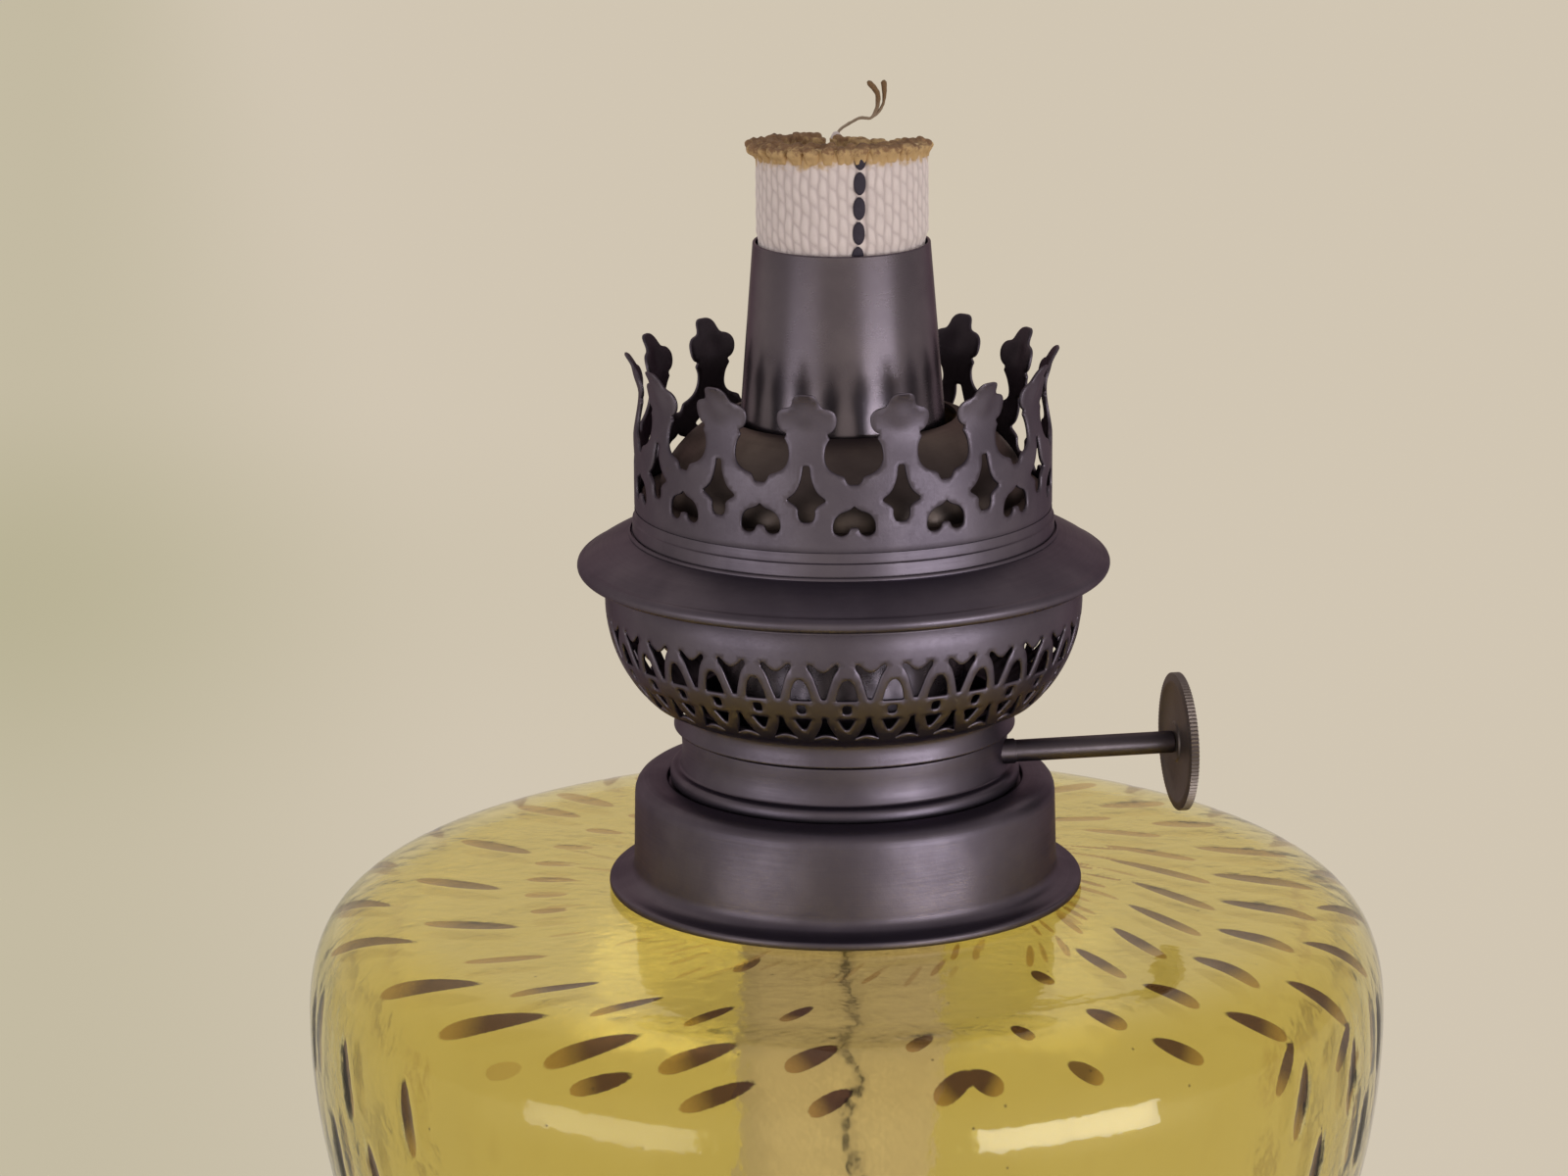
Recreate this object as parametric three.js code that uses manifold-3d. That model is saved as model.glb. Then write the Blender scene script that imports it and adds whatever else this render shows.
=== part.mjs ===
// An oil lamp on a low foot: a round glass font with a cemented collar, a round-wick burner that
// screws into the collar, and a lift-off gallery with a pierced air basket and a chimney crown.
// Lengths are millimetres, +Z is up, z = 0 is the table and the wick spindle points along +X.
import * as THREE from "three";
import { mergeVertices } from "three/addons/utils/BufferGeometryUtils.js";
import Module from "manifold-3d";

const wasm = await Module();
wasm.setup();

// Fits and stock
const fit = 0.3;
const sheet = 0.5;
const tubeWall = 0.4;
const footSheet = 0.8;
const collarSheet = 0.7;
const glassWall = 2.6;
const cutOverrun = 3;

// Facets
const roundFacets = 32;
const innerFacets = 20;
const shaftFacets = 12;
const wickFacets = 24;

// Foot
const padThickness = 1.5;
const padInset = 0.6;
const footRadius = 52;
const footHeight = 30.2;
const footRimHeight = 3.5;
const footStep = 1.8;
const footStepRise = 1.2;
const fillingWall = 3.1;
const waistDrop = 9;
const cupReach = 6;
const cupEdge = 1.6;

// Font
const fontRadius = 70.8;
const bellyHeight = 61.7;
const domeHeight = 78;
const domeReach = 14.8;
const domeFall = 0.4;
const neckWall = 2.8;
const neckHeight = 11.2;
const neckFillet = 1.6;
const seatReach = 11;
const pegRadius = 15.5;
const pegDepth = 6;
const domePullShare = 0.36;
const shoulderPullShare = 0.74;
const underPullShare = 0.5;
const bowlPullShare = 0.78;

// Collar
const cementThickness = 2;
const collarHeight = 14.5;
const collarShoulder = 1.7;
const collarLipReach = 3.3;
const collarLipHeight = 2.9;
const collarLipEdge = 0.8;
const recessDepth = 0.9;

// Burner body
const bandHeight = 7.25;
const beadReach = 1.45;
const beadHeight = 2.2;
const beadCrownShare = 0.6;
const spigotWall = 0.8;
const spigotHeight = 4;
const threadWall = 1.7;
const threadLength = 8;
const plateThickness = 0.8;

// Wick tubes
const tubeHeight = 71.1;
const tubeTopRadius = 11.4;
const tubeFootRadius = 17;
const portWidth = 8;
const portHeight = 11;
const portSill = 2;
const innerTubeDrop = 0.6;
const windowWidth = 6;
const windowHeight = 8;
const backingThickness = 0.6;
const backingWidth = 17;
const backingHeight = 9;

// Wick and its travel
const wickThickness = 2;
const wickShow = 12.1;
const wickJoin = 0.8;
const wickRaise = 6;
const wickRoundLength = 48;
const wickTurnLength = 10;
const wickCornerBlend = 4;
const wickTail = 63;
const wickFold = 1.5;
const wickSway = 3;
const wickFoldTurns = 3;
const wickTurnSteps = 3;
const wickTailSteps = 7;

// Spindle, cogs and wick wheel
const spindleRise = 4.6;
const spindleSetback = 8;
const shaftRadius = 1.45;
const shaftClearance = 0.2;
const tenonRadius = 0.9;
const rivetRadius = 1.9;
const rivetHeight = 0.8;
const rivetCrownShare = 0.6;
const cogRadius = 3.9;
const cogThickness = 1.2;
const cogSpacing = 8;
const cogTeeth = 10;
const toothDepth = 0.9;
const glandWall = 0.45;
const glandLength = 4.5;
const glandProud = 0.4;
const bushWall = 0.9;
const bushLength = 2.6;
const wheelReach = 42.3;
const wheelRadius = 9.15;
const wheelThickness = 1.3;
const wheelTeeth = 32;
const wheelToothDepth = 0.35;
const wheelHubRadius = 3.4;
const wheelRimWidth = 1.7;
const wheelDish = 0.35;

// Gallery
const skirtRadius = 21.4;
const skirtHeight = 0.9;
const coveReach = 1.2;
const coveRise = 1;
const basketRadius = 31;
const bellyDepth = 16.6;
const bellyReach = 14.6;
const basketCells = 32;
const latticeDepth = 13.1;
const basketBandHeight = 1.4;
const basketLipReach = 2;
const basketLipRise = 1.6;
const flangeRadius = 34.57;
const flangeRimRadius = 0.75;
const flangeHeight = 7.8;
const flangeNeckHeight = 3.2;
const flangeSteps = 2;
const flangeStep = 0.28;
const flangeDish = 0.3;
const crownRadius = 27;
const crownHeight = 20.5;
const crownCells = 14;
const crownWallHeight = 9.3;
const crownWaist = 0.8;
const crownFlare = 1.5;
const domeClearance = 1.2;
const domeRise = 10;
const domeSkirtHeight = 3.2;
const domeSeatWidth = 2.4;
const latticeTurn = 1.25;
const crownTurn = 5.2;

// One cell of the basket's pattern, right half only: across from the middle of the cell to its side
// and up from the foot of the pierced strip to its head. Its side is cut by half of each fork.
const latticeEdgeShares = [
  [0.5, 0.125],
  [0.205, 0.075],
  [0.5, 0.372],
  [0.5, 0.578],
  [0.18, 0.872],
  [0.235, 0.91],
  [0.5, 0.834],
];
const archShares = [
  [0.23, 0.566],
  [0.17, 0.69],
  [0, 0.775],
];
const dropShares = [
  [0, 0.21],
  [0.2, 0.35],
];
const dotShares = [
  [0, 0.42],
  [0.1, 0.444],
  [0.1, 0.484],
  [0, 0.507],
];

// One cell of the crown, right half only, with a prong in its middle: half a heart, then half of the
// round gap between two prongs, then the prong itself with its nub, its lobe and its knob.
const crownEdgeShares = [
  [0.5, 0.147],
  [0.44, 0.135],
  [0.39, 0.106],
  [0.3, 0.118],
  [0.285, 0.175],
  [0.34, 0.232],
  [0.5, 0.28],
  [0.5, 0.419],
  [0.425, 0.437],
  [0.36, 0.482],
  [0.25, 0.507],
  [0.197, 0.59],
  [0.237, 0.71],
  [0.21, 0.737],
  [0.287, 0.775],
  [0.29, 0.86],
  [0.2, 0.9],
  [0.085, 0.91],
  [0.075, 0.985],
];
const lozengeShares = [
  [0, 0.183],
  [0.075, 0.195],
  [0.085, 0.26],
  [0.21, 0.322],
  [0.09, 0.39],
  [0.035, 0.51],
  [0, 0.532],
];

// Heights, stacked up from the table
const padTop = padThickness;
const footBase = padTop + fit;
const footTop = footBase + footHeight;
const fontBase = footTop + fit;
const bellyZ = fontBase + bellyHeight;
const domeZ = fontBase + domeHeight;
const neckTop = domeZ + neckHeight;
const collarBase = domeZ + fit;
const collarTop = collarBase + collarHeight;
const burnerSeat = collarTop - recessDepth;
const burnerBase = burnerSeat + fit;
const bandTop = burnerBase + bandHeight;
const plateTop = burnerBase;
const plateBase = plateTop - plateThickness;
const ledgeZ = plateBase - fit;
const tubeBase = plateTop + fit;
const tubeTop = tubeBase + tubeHeight;
const spindleZ = burnerBase + spindleRise;
const galleryBase = bandTop + fit;
const coveTop = galleryBase + skirtHeight + coveRise;

// Radii, worked out from the skirt of the gallery inwards and outwards
const spigotRadius = skirtRadius - sheet - fit;
const spigotBore = spigotRadius - spigotWall;
const bandRadius = skirtRadius;
const beadRadius = bandRadius + beadReach;
const threadRadius = spigotRadius - fit;
const threadBore = threadRadius - threadWall;
const sleeveBore = threadRadius + fit;
const sleeveRadius = sleeveBore + collarSheet;
const neckBore = sleeveRadius + fit;
const neckRadius = neckBore + neckWall;
const collarBore = neckRadius + cementThickness + fit + fit;
const collarRadius = collarBore + collarSheet;
const collarLipRadius = collarRadius + collarLipReach;
const pegBore = pegRadius + fit;
const waistRadius = pegBore + fillingWall + fit + footSheet;
const cupRadius = waistRadius + cupReach;
const glandBore = shaftRadius + shaftClearance;
const glandRadius = glandBore + glandWall;
const bushRadius = glandBore + bushWall;
const domeSkirtRadius = crownRadius - sheet - fit;

// Wick: round at the top, flat in front of the cogs and open behind lower down
const wickTop = tubeTop + wickShow;
const wickTurnStart = wickTop - wickRoundLength;
const wickTurnEnd = wickTurnStart - wickTurnLength;
const wickTailTop = plateBase - wickRaise - fit;
const wickRoundRadius = tubeTopRadius - tubeWall - fit - wickThickness / 2;
const wickOpenRadius = tubeRadiusAt(wickTurnEnd + wickRaise) - tubeWall - fit - wickThickness / 2;
const wickFlatY = cogRadius + fit + wickThickness / 2 - spindleSetback;
const wickWidth = 2 * Math.PI * wickRoundRadius - wickJoin;
const wickRoundReach = wickWidth / 2 / wickRoundRadius;
const wickFlatAngle = Math.acos(-wickFlatY / wickOpenRadius);
const wickOpenReach = wickFlatAngle + wickWidth / 2 / wickOpenRadius - Math.sin(wickFlatAngle);
const innerTubeRadius = wickRoundRadius - wickThickness / 2 - fit;
const shaftEnd = wallOnSpindle(tubeRadiusAt(spindleZ)) + bushLength / 2 - shaftClearance;

// Gallery heights
const coveAngle = Math.acos((skirtRadius + coveReach - basketRadius + bellyReach) / bellyReach);
const basketBellyZ = coveTop + bellyDepth * Math.sin(coveAngle);
const latticeAngle = Math.asin(latticeDepth / bellyDepth);
const basketLipZ = basketBellyZ + basketBandHeight + basketLipRise;
const flangeRimZ = basketLipZ + sheet + fit + flangeRimRadius;
const flangeTop = flangeRimZ + flangeHeight;
const crownBase = flangeTop + fit;
const domeSeatZ = crownBase + domeSkirtHeight / 2;

// Materials
const brass = new THREE.MeshStandardMaterial({ color: 0x4b4148, roughness: 0.42, metalness: 0.85 });
const innerBrass = new THREE.MeshStandardMaterial({ color: 0x6b5a42, roughness: 0.5, metalness: 0.8 });
const steel = new THREE.MeshStandardMaterial({ color: 0x55525a, roughness: 0.45, metalness: 0.9 });
const cotton = new THREE.MeshStandardMaterial({ color: 0xc3b4b0, roughness: 0.95, metalness: 0 });
const plaster = new THREE.MeshStandardMaterial({ color: 0xb9ad93, roughness: 0.9, metalness: 0 });
const felt = new THREE.MeshStandardMaterial({ color: 0x2f3a2c, roughness: 1, metalness: 0 });
const amber = new THREE.MeshStandardMaterial({
  color: 0xc9a227,
  roughness: 0.08,
  metalness: 0,
  transparent: true,
  opacity: 0.55,
});

function at(radius, z) {
  return new THREE.Vector2(radius, z);
}

function ring(radius, z0, bore, z1) {
  return [at(bore, z0), at(radius, z0), at(radius, z1), at(bore, z1)];
}

// Points of a cubic curve without its first point.
function bend(from, towards, back, to, steps) {
  return new THREE.CubicBezierCurve(from, towards, back, to).getPoints(steps).slice(1);
}

// The line that runs beside another at one distance, to the left of its direction.
function beside(line, distance) {
  return line.map((point, i) => {
    const before = line[Math.max(i - 1, 0)];
    const after = line[Math.min(i + 1, line.length - 1)];
    const into = point.clone().sub(before).normalize();
    const out = after.clone().sub(point).normalize();
    const first = i === 0 ? out : into;
    const last = i === line.length - 1 ? into : out;
    const mean = first.clone().add(last).normalize();
    const stretch = distance / Math.max(mean.dot(last), Math.SQRT1_2);
    return at(point.x - mean.y * stretch, point.y + mean.x * stretch);
  });
}

// A closed profile, radius against height, turned about the Z axis.
function turned(profile, facets = roundFacets) {
  const closed = [...profile, profile[0]];
  if (THREE.ShapeUtils.isClockWise(profile)) closed.reverse();
  const geometry = new THREE.LatheGeometry(closed, facets);
  geometry.rotateX(Math.PI / 2);
  return geometry;
}

// A flat outline with holes, raised along Z from z0 by a depth.
function raised(outline, depth, z0, holes = []) {
  const shape = new THREE.Shape(outline);
  shape.holes = holes.map((hole) => new THREE.Path(hole));
  const geometry = new THREE.ExtrudeGeometry(shape, { depth, bevelEnabled: false, steps: 1 });
  geometry.translate(0, 0, z0);
  return geometry;
}

function circle(radius, facets) {
  return Array.from({ length: facets }, (_, i) => {
    const turn = (2 * Math.PI * i) / facets;
    return at(radius * Math.cos(turn), radius * Math.sin(turn));
  });
}

// A toothed outline: each tooth has one point out and one point in.
function toothed(radius, depth, teeth) {
  return Array.from({ length: 2 * teeth }, (_, i) => {
    const turn = (Math.PI * i) / teeth;
    const reach = i % 2 === 0 ? radius : radius - depth;
    return at(reach * Math.cos(turn), reach * Math.sin(turn));
  });
}

function geometryOf(positions, index) {
  const geometry = new THREE.BufferGeometry();
  geometry.setAttribute("position", new THREE.Float32BufferAttribute(positions, 3));
  if (index) geometry.setIndex(index);
  const flat = geometry.index ? geometry.toNonIndexed() : geometry;
  flat.computeVertexNormals();
  return flat;
}

function solidOf(geometry) {
  const bare = geometry.index ? geometry.toNonIndexed() : geometry.clone();
  bare.deleteAttribute("normal");
  bare.deleteAttribute("uv");
  const merged = mergeVertices(bare);
  const triVerts = new Uint32Array(merged.index.array);
  const vertProperties = merged.attributes.position.array;
  return new wasm.Manifold(new wasm.Mesh({ numProp: 3, vertProperties, triVerts }));
}

// A body with each of the cutters taken out of it.
function cut(body, ...cutters) {
  const left = cutters.reduce((solid, cutter) => solid.subtract(solidOf(cutter)), solidOf(body));
  const { vertProperties, triVerts } = left.getMesh();
  return geometryOf(vertProperties, Array.from(triVerts));
}

// A round cutter along X through the spindle line, from one x to another.
function spindleDrill(radius, fromX, toX) {
  const geometry = turned([at(0, fromX), at(radius, fromX), at(radius, toX), at(0, toX)], shaftFacets);
  geometry.rotateY(Math.PI / 2);
  geometry.translate(0, -spindleSetback, spindleZ);
  return geometry;
}

// How far out along X a wall of this radius lies on the line of the spindle.
function wallOnSpindle(radius, offset = spindleSetback) {
  return Math.sqrt(radius * radius - offset * offset);
}

// Foot
function shellLine() {
  const rimTop = footBase + footRimHeight;
  const waistZ = footTop - waistDrop;
  const waist = at(waistRadius, waistZ);
  const cup = at(cupRadius, footTop - cupEdge);
  const shoulder = at(footRadius - footStep, rimTop + footStepRise);
  return [
    at(pegBore, footTop),
    at(cupRadius - cupEdge, footTop),
    ...bend(at(cupRadius - cupEdge, footTop), at(cupRadius, footTop), at(cupRadius, footTop), cup, 2),
    ...bend(cup, at(cupRadius, waistZ + waistDrop / 2), at(waistRadius, waistZ + waistDrop / 2), waist, 2),
    ...bend(waist, at(waistRadius, shoulder.y), at(waistRadius + cupReach, rimTop + waistDrop / 2), shoulder, 4),
    at(footRadius, rimTop),
    at(footRadius, footBase),
  ];
}

function footShell() {
  const line = shellLine();
  return turned([...line, ...beside(line, -footSheet).reverse()]);
}

function footFilling() {
  const inside = beside(shellLine(), -footSheet - fit);
  const recess = fontBase - pegDepth - fit;
  const side = inside.slice(0, -1);
  const rim = at(side.at(-1).x, footBase);
  return turned([at(0, recess), at(pegBore, recess), ...side, rim, at(0, footBase)], innerFacets);
}

function basePad() {
  const radius = footRadius - padInset;
  return turned([at(0, 0), at(radius, 0), at(radius, padTop), at(0, padTop)], innerFacets);
}

// Font: the outside of the glass from the foot of its neck to the flat that stands on the foot.
function fontLine() {
  const edge = at(fontRadius - domeReach, domeZ - domeFall);
  const belly = at(fontRadius, bellyZ);
  const seat = at(pegRadius + seatReach, fontBase);
  const shoulderPull = (domeZ - bellyZ) * shoulderPullShare;
  const under = bellyHeight * underPullShare;
  return [
    at(neckRadius + neckFillet, domeZ),
    edge,
    ...bend(
      edge,
      at(fontRadius - domeReach * domePullShare, edge.y),
      at(fontRadius, bellyZ + shoulderPull),
      belly,
      5,
    ),
    ...bend(belly, at(fontRadius, bellyZ - under), at(fontRadius * bowlPullShare, fontBase), seat, 6),
  ];
}

function fontGlass() {
  const outer = fontLine();
  const inner = beside(outer.slice(1), -glassWall);
  const pegBase = fontBase - pegDepth;
  return turned([
    at(neckBore, neckTop),
    at(neckRadius, neckTop),
    at(neckRadius, domeZ + neckFillet),
    ...outer,
    at(pegRadius, fontBase),
    at(pegRadius, pegBase),
    at(0, pegBase),
    at(0, fontBase + glassWall),
    ...inner.reverse(),
    at(neckBore, domeZ - glassWall),
  ]);
}

// Collar and the cement that holds it on the neck
function fontCollar() {
  const lipTop = collarBase + collarLipHeight;
  const recessRadius = beadRadius + fit;
  const shoulder = at(collarRadius - collarShoulder, collarTop);
  const side = at(collarRadius, collarTop - collarShoulder);
  const wall = at(collarRadius, lipTop);
  const corner = at(collarRadius, collarBase + collarLipEdge);
  const lip = at(collarLipRadius, corner.y);
  const roof = burnerSeat - collarSheet;
  return turned([
    at(sleeveBore, burnerSeat - threadLength),
    at(sleeveBore, burnerSeat),
    at(recessRadius, burnerSeat),
    at(recessRadius, collarTop),
    shoulder,
    ...bend(shoulder, at(collarRadius, collarTop), at(collarRadius, collarTop), side, 2),
    wall,
    ...bend(wall, corner, corner, lip, 2),
    at(collarLipRadius, collarBase),
    at(collarLipRadius - collarLipHeight, collarBase),
    at(collarBore, lipTop),
    at(collarBore, roof),
    at(sleeveRadius, roof),
    at(sleeveRadius, burnerSeat - threadLength),
  ]);
}

function collarCement() {
  const outer = collarBore - fit;
  const inner = neckRadius + fit;
  const top = burnerSeat - collarSheet - fit;
  const bottom = collarBase + collarLipHeight;
  const overNeck = neckTop + fit;
  const section = [at(inner, bottom), at(outer, bottom), at(outer, top)];
  return turned([...section, at(neckBore, top), at(neckBore, overNeck), at(inner, overNeck)], innerFacets);
}

// Burner body: neck band, bead, screw ring below and the spigot that the gallery sits round
function burnerBody() {
  const beadMid = burnerBase + beadHeight / 2;
  const threadBase = burnerBase - threadLength;
  const body = turned([
    at(threadBore, threadBase),
    at(threadRadius, threadBase),
    at(threadRadius, burnerBase),
    at(bandRadius + beadReach * beadCrownShare, burnerBase),
    at(beadRadius, beadMid),
    at(bandRadius + beadReach * beadCrownShare, burnerBase + beadHeight),
    at(bandRadius, burnerBase + beadHeight),
    at(bandRadius, bandTop),
    at(spigotRadius, bandTop),
    at(spigotRadius, bandTop + spigotHeight),
    at(spigotBore, bandTop + spigotHeight),
    at(spigotBore, ledgeZ),
    at(threadBore, ledgeZ),
  ]);
  return cut(body, spindleDrill(glandRadius + shaftClearance, 0, bandRadius + cutOverrun));
}

function basePlate() {
  const radius = spigotBore - fit;
  const disc = turned([at(0, plateBase), at(radius, plateBase), at(radius, plateTop), at(0, plateTop)]);
  const slot = wickOutline(wickTurnEnd, wickThickness / 2 + fit, fit);
  return cut(disc, raised(slot, plateThickness + 2 * cutOverrun, plateBase - cutOverrun));
}

// Wick tubes: a cone outside, and inside it a straight tube that feeds air to the flame
function tubeRadiusAt(z) {
  return tubeTopRadius + ((tubeFootRadius - tubeTopRadius) * (tubeTop - z)) / tubeHeight;
}

function archOutline(width, height) {
  const half = width / 2;
  const arch = new THREE.Path().moveTo(-half, 0).lineTo(half, 0).lineTo(half, height - half);
  arch.absarc(0, height - half, half, 0, Math.PI, false);
  return arch.getPoints(4);
}

// An arched cutter that opens a wall on the +Y side.
function rearArch(width, height, sill) {
  const geometry = raised(archOutline(width, height), tubeFootRadius + cutOverrun, 0);
  geometry.rotateX(Math.PI / 2);
  geometry.translate(0, tubeFootRadius + cutOverrun, tubeBase + sill);
  return geometry;
}

function outerWickTube() {
  const cone = turned([
    at(tubeFootRadius - tubeWall, tubeBase),
    at(tubeFootRadius, tubeBase),
    at(tubeTopRadius, tubeTop),
    at(tubeTopRadius - tubeWall, tubeTop),
  ]);
  const reach = tubeFootRadius + cutOverrun;
  return cut(
    cone,
    rearArch(portWidth, portHeight, portSill),
    spindleDrill(glandRadius + shaftClearance, 0, reach),
    spindleDrill(bushRadius + shaftClearance, -reach, 0),
  );
}

function innerDraughtTube() {
  const radius = innerTubeRadius;
  const tube = turned(ring(radius, tubeBase, radius - tubeWall, tubeTop - innerTubeDrop), innerFacets);
  const backY = wickFlatY + wickThickness / 2 + 2 * fit + backingThickness + fit;
  const cutReach = radius + cutOverrun;
  const low = wickTurnEnd + wickRaise - fit;
  const high = wickTurnStart + wickRaise + fit;
  const slope = (high - low) / (backY + radius);
  const mouth = raised(
    [
      at(-cutReach, tubeBase - cutOverrun),
      at(backY, tubeBase - cutOverrun),
      at(backY, low),
      at(-cutReach, low + slope * (backY + cutReach)),
    ],
    2 * cutReach,
    -cutReach,
  );
  mouth.rotateX(Math.PI / 2);
  mouth.rotateZ(Math.PI / 2);
  return cut(tube, mouth, rearArch(windowWidth, windowHeight, portSill + fit));
}

function wickBackingPlate() {
  const y = wickFlatY + wickThickness / 2 + fit;
  const plate = new THREE.BoxGeometry(backingWidth, backingThickness, backingHeight);
  plate.translate(0, y + backingThickness / 2, tubeBase + backingHeight / 2);
  return plate;
}

// Wick: a flat woven band bent round the draught tube. Lower down its front goes flat, where the
// cogs press on it, and its edges part to let air in; below the burner it hangs in the oil.
function smoothStep(t) {
  const s = Math.min(Math.max(t, 0), 1);
  return s * s * (3 - 2 * s);
}

function mix(a, b, t) {
  return a + (b - a) * t;
}

function blendedMax(a, b, width) {
  const near = Math.max(width - Math.abs(a - b), 0);
  return Math.max(a, b) + (near * near) / (4 * width);
}

// Middle of the band's thickness: share runs from -1 to 1 across the band, from edge to edge.
function wickMiddle(share, z) {
  const turn = smoothStep((wickTurnStart - z) / wickTurnLength);
  const hang = smoothStep((wickTailTop - z) / wickTail);
  const radius = mix(wickRoundRadius, wickOpenRadius, turn);
  const reach = mix(wickRoundReach, wickOpenReach, turn);
  const angle = share * reach;
  const fold = wickFold * hang * Math.cos(angle * wickFoldTurns);
  const flat = mix(wickRoundRadius + wickCornerBlend, -wickFlatY, turn);
  const x = (radius + fold) * Math.sin(angle) - wickSway * hang * (1 + share) * share;
  const y = blendedMax(-(radius + fold) * Math.cos(angle), -flat, wickCornerBlend);
  return at(x, y);
}

function wickPoint(share, z, off) {
  const step = 1 / wickFacets;
  const along = wickMiddle(share + step, z).sub(wickMiddle(share - step, z)).normalize();
  return wickMiddle(share, z).add(at(along.y * off, -along.x * off));
}

// The band's outline at one height, counter-clockwise: its outer face, then its inner face.
function wickOutline(z, halfThickness, endAllowance) {
  const reach = 1 + endAllowance / (wickWidth / 2);
  const shares = Array.from({ length: wickFacets + 1 }, (_, i) => reach * ((2 * i) / wickFacets - 1));
  const outer = shares.map((share) => wickPoint(share, z, halfThickness));
  const inner = shares.map((share) => wickPoint(share, z, -halfThickness)).reverse();
  return [...outer, ...inner];
}

function wickBand() {
  const levels = [
    wickTop,
    tubeTop,
    ...stepsDown(wickTurnStart, wickTurnLength, wickTurnSteps),
    ...stepsDown(wickTailTop, wickTail, wickTailSteps),
  ];
  const outlines = levels.map((z) => wickOutline(z, wickThickness / 2, 0));
  return lofted(outlines, levels);
}

function stepsDown(from, drop, steps) {
  return Array.from({ length: steps + 1 }, (_, i) => from - (drop * i) / steps);
}

// A solid through outlines of as many points each, at falling heights.
function lofted(outlines, levels) {
  const count = outlines[0].length;
  const positions = outlines.flatMap((outline, row) => outline.flatMap((p) => [p.x, p.y, levels[row]]));
  const index = [];
  for (let row = 0; row < levels.length - 1; row++) {
    for (let i = 0; i < count; i++) {
      const a = row * count + i;
      const b = row * count + ((i + 1) % count);
      index.push(a, a + count, b, b, a + count, b + count);
    }
  }
  const last = (levels.length - 1) * count;
  for (let i = 0; i < count / 2 - 1; i++) {
    const j = count - 1 - i;
    index.push(i, i + 1, j, i + 1, j - 1, j);
    index.push(last + i, last + j, last + i + 1, last + i + 1, last + j, last + j - 1);
  }
  return geometryOf(positions, index);
}

// Spindle and what turns with it, made along Z from the axis of the lamp outwards
function spindleShaft() {
  const wheelOut = wheelReach + wheelThickness + 2 * shaftClearance;
  return turned(
    [
      at(0, -shaftEnd),
      at(shaftRadius, -shaftEnd),
      at(shaftRadius, wheelReach - shaftClearance),
      at(tenonRadius, wheelReach - shaftClearance),
      at(tenonRadius, wheelOut),
      at(rivetRadius, wheelOut),
      at(rivetRadius * rivetCrownShare, wheelOut + rivetHeight),
      at(0, wheelOut + rivetHeight),
    ],
    shaftFacets,
  );
}

function wickWheel() {
  const rim = wheelRadius - wheelToothDepth - wheelRimWidth;
  const bore = circle(tenonRadius + shaftClearance, shaftFacets);
  const disc = raised(toothed(wheelRadius, wheelToothDepth, wheelTeeth), wheelThickness, wheelReach, [bore]);
  const dish = (z0, z1) => turned(ring(rim, z0, wheelHubRadius, z1), innerFacets);
  const innerDish = dish(wheelReach - cutOverrun, wheelReach + wheelDish);
  const outerFace = wheelReach + wheelThickness;
  return cut(disc, innerDish, dish(outerFace - wheelDish, outerFace + cutOverrun));
}

function cogWheel(x) {
  const bore = circle(shaftRadius + shaftClearance, cogTeeth);
  return raised(toothed(cogRadius, toothDepth, cogTeeth), cogThickness, x - cogThickness / 2, [bore]);
}

function spindleGland() {
  const end = wallOnSpindle(bandRadius, spindleSetback - glandRadius) + glandProud;
  return turned(ring(glandRadius, end - glandLength, glandBore, end), shaftFacets);
}

function spindleEndBush() {
  const middle = -wallOnSpindle(tubeRadiusAt(spindleZ) - tubeWall / 2);
  return turned(ring(bushRadius, middle - bushLength / 2, glandBore, middle + bushLength / 2), shaftFacets);
}

// Pierced sheet: turn is measured from the -Y side towards +X, as a share of a whole turn
function spot(point, turn) {
  const angle = 2 * Math.PI * turn;
  return [point.x * Math.sin(angle), -point.x * Math.cos(angle), point.y];
}

// Plain rows of the sheet. Each row is a pair of an outer and an inner point, from the top down.
function bandFaces(rows, cells) {
  const faces = [];
  const quad = (a, b, c, d) => faces.push(...a, ...b, ...c, ...a, ...c, ...d);
  for (let k = 0; k < cells; k++) {
    const left = (k - 0.5) / cells;
    const right = (k + 0.5) / cells;
    for (let i = 0; i < rows.length - 1; i++) {
      const [outer, inner] = rows[i];
      const [outerBelow, innerBelow] = rows[i + 1];
      quad(spot(outer, left), spot(outerBelow, left), spot(outerBelow, right), spot(outer, right));
      quad(spot(inner, right), spot(innerBelow, right), spot(innerBelow, left), spot(inner, left));
    }
  }
  return faces;
}

// The free edge of a row, facing up, or down when it is the lowest.
function edgeFaces([outer, inner], cells, facesUp) {
  const faces = [];
  for (let k = 0; k < cells; k++) {
    const turns = [(k - 0.5) / cells, (k + 0.5) / cells];
    if (!facesUp) turns.reverse();
    const [a, b] = turns.map((turn) => spot(outer, turn));
    const [d, c] = turns.map((turn) => spot(inner, turn));
    faces.push(...a, ...b, ...c, ...a, ...c, ...d);
  }
  return faces;
}

// Both halves of an outline from the shares of its right half, listed upwards.
function mirrored(half) {
  const right = half.map(([across, up]) => at(across, up));
  const left = half.filter(([across]) => across > 0).reverse();
  return [...right, ...left.map(([across, up]) => at(-across, up))];
}

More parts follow.
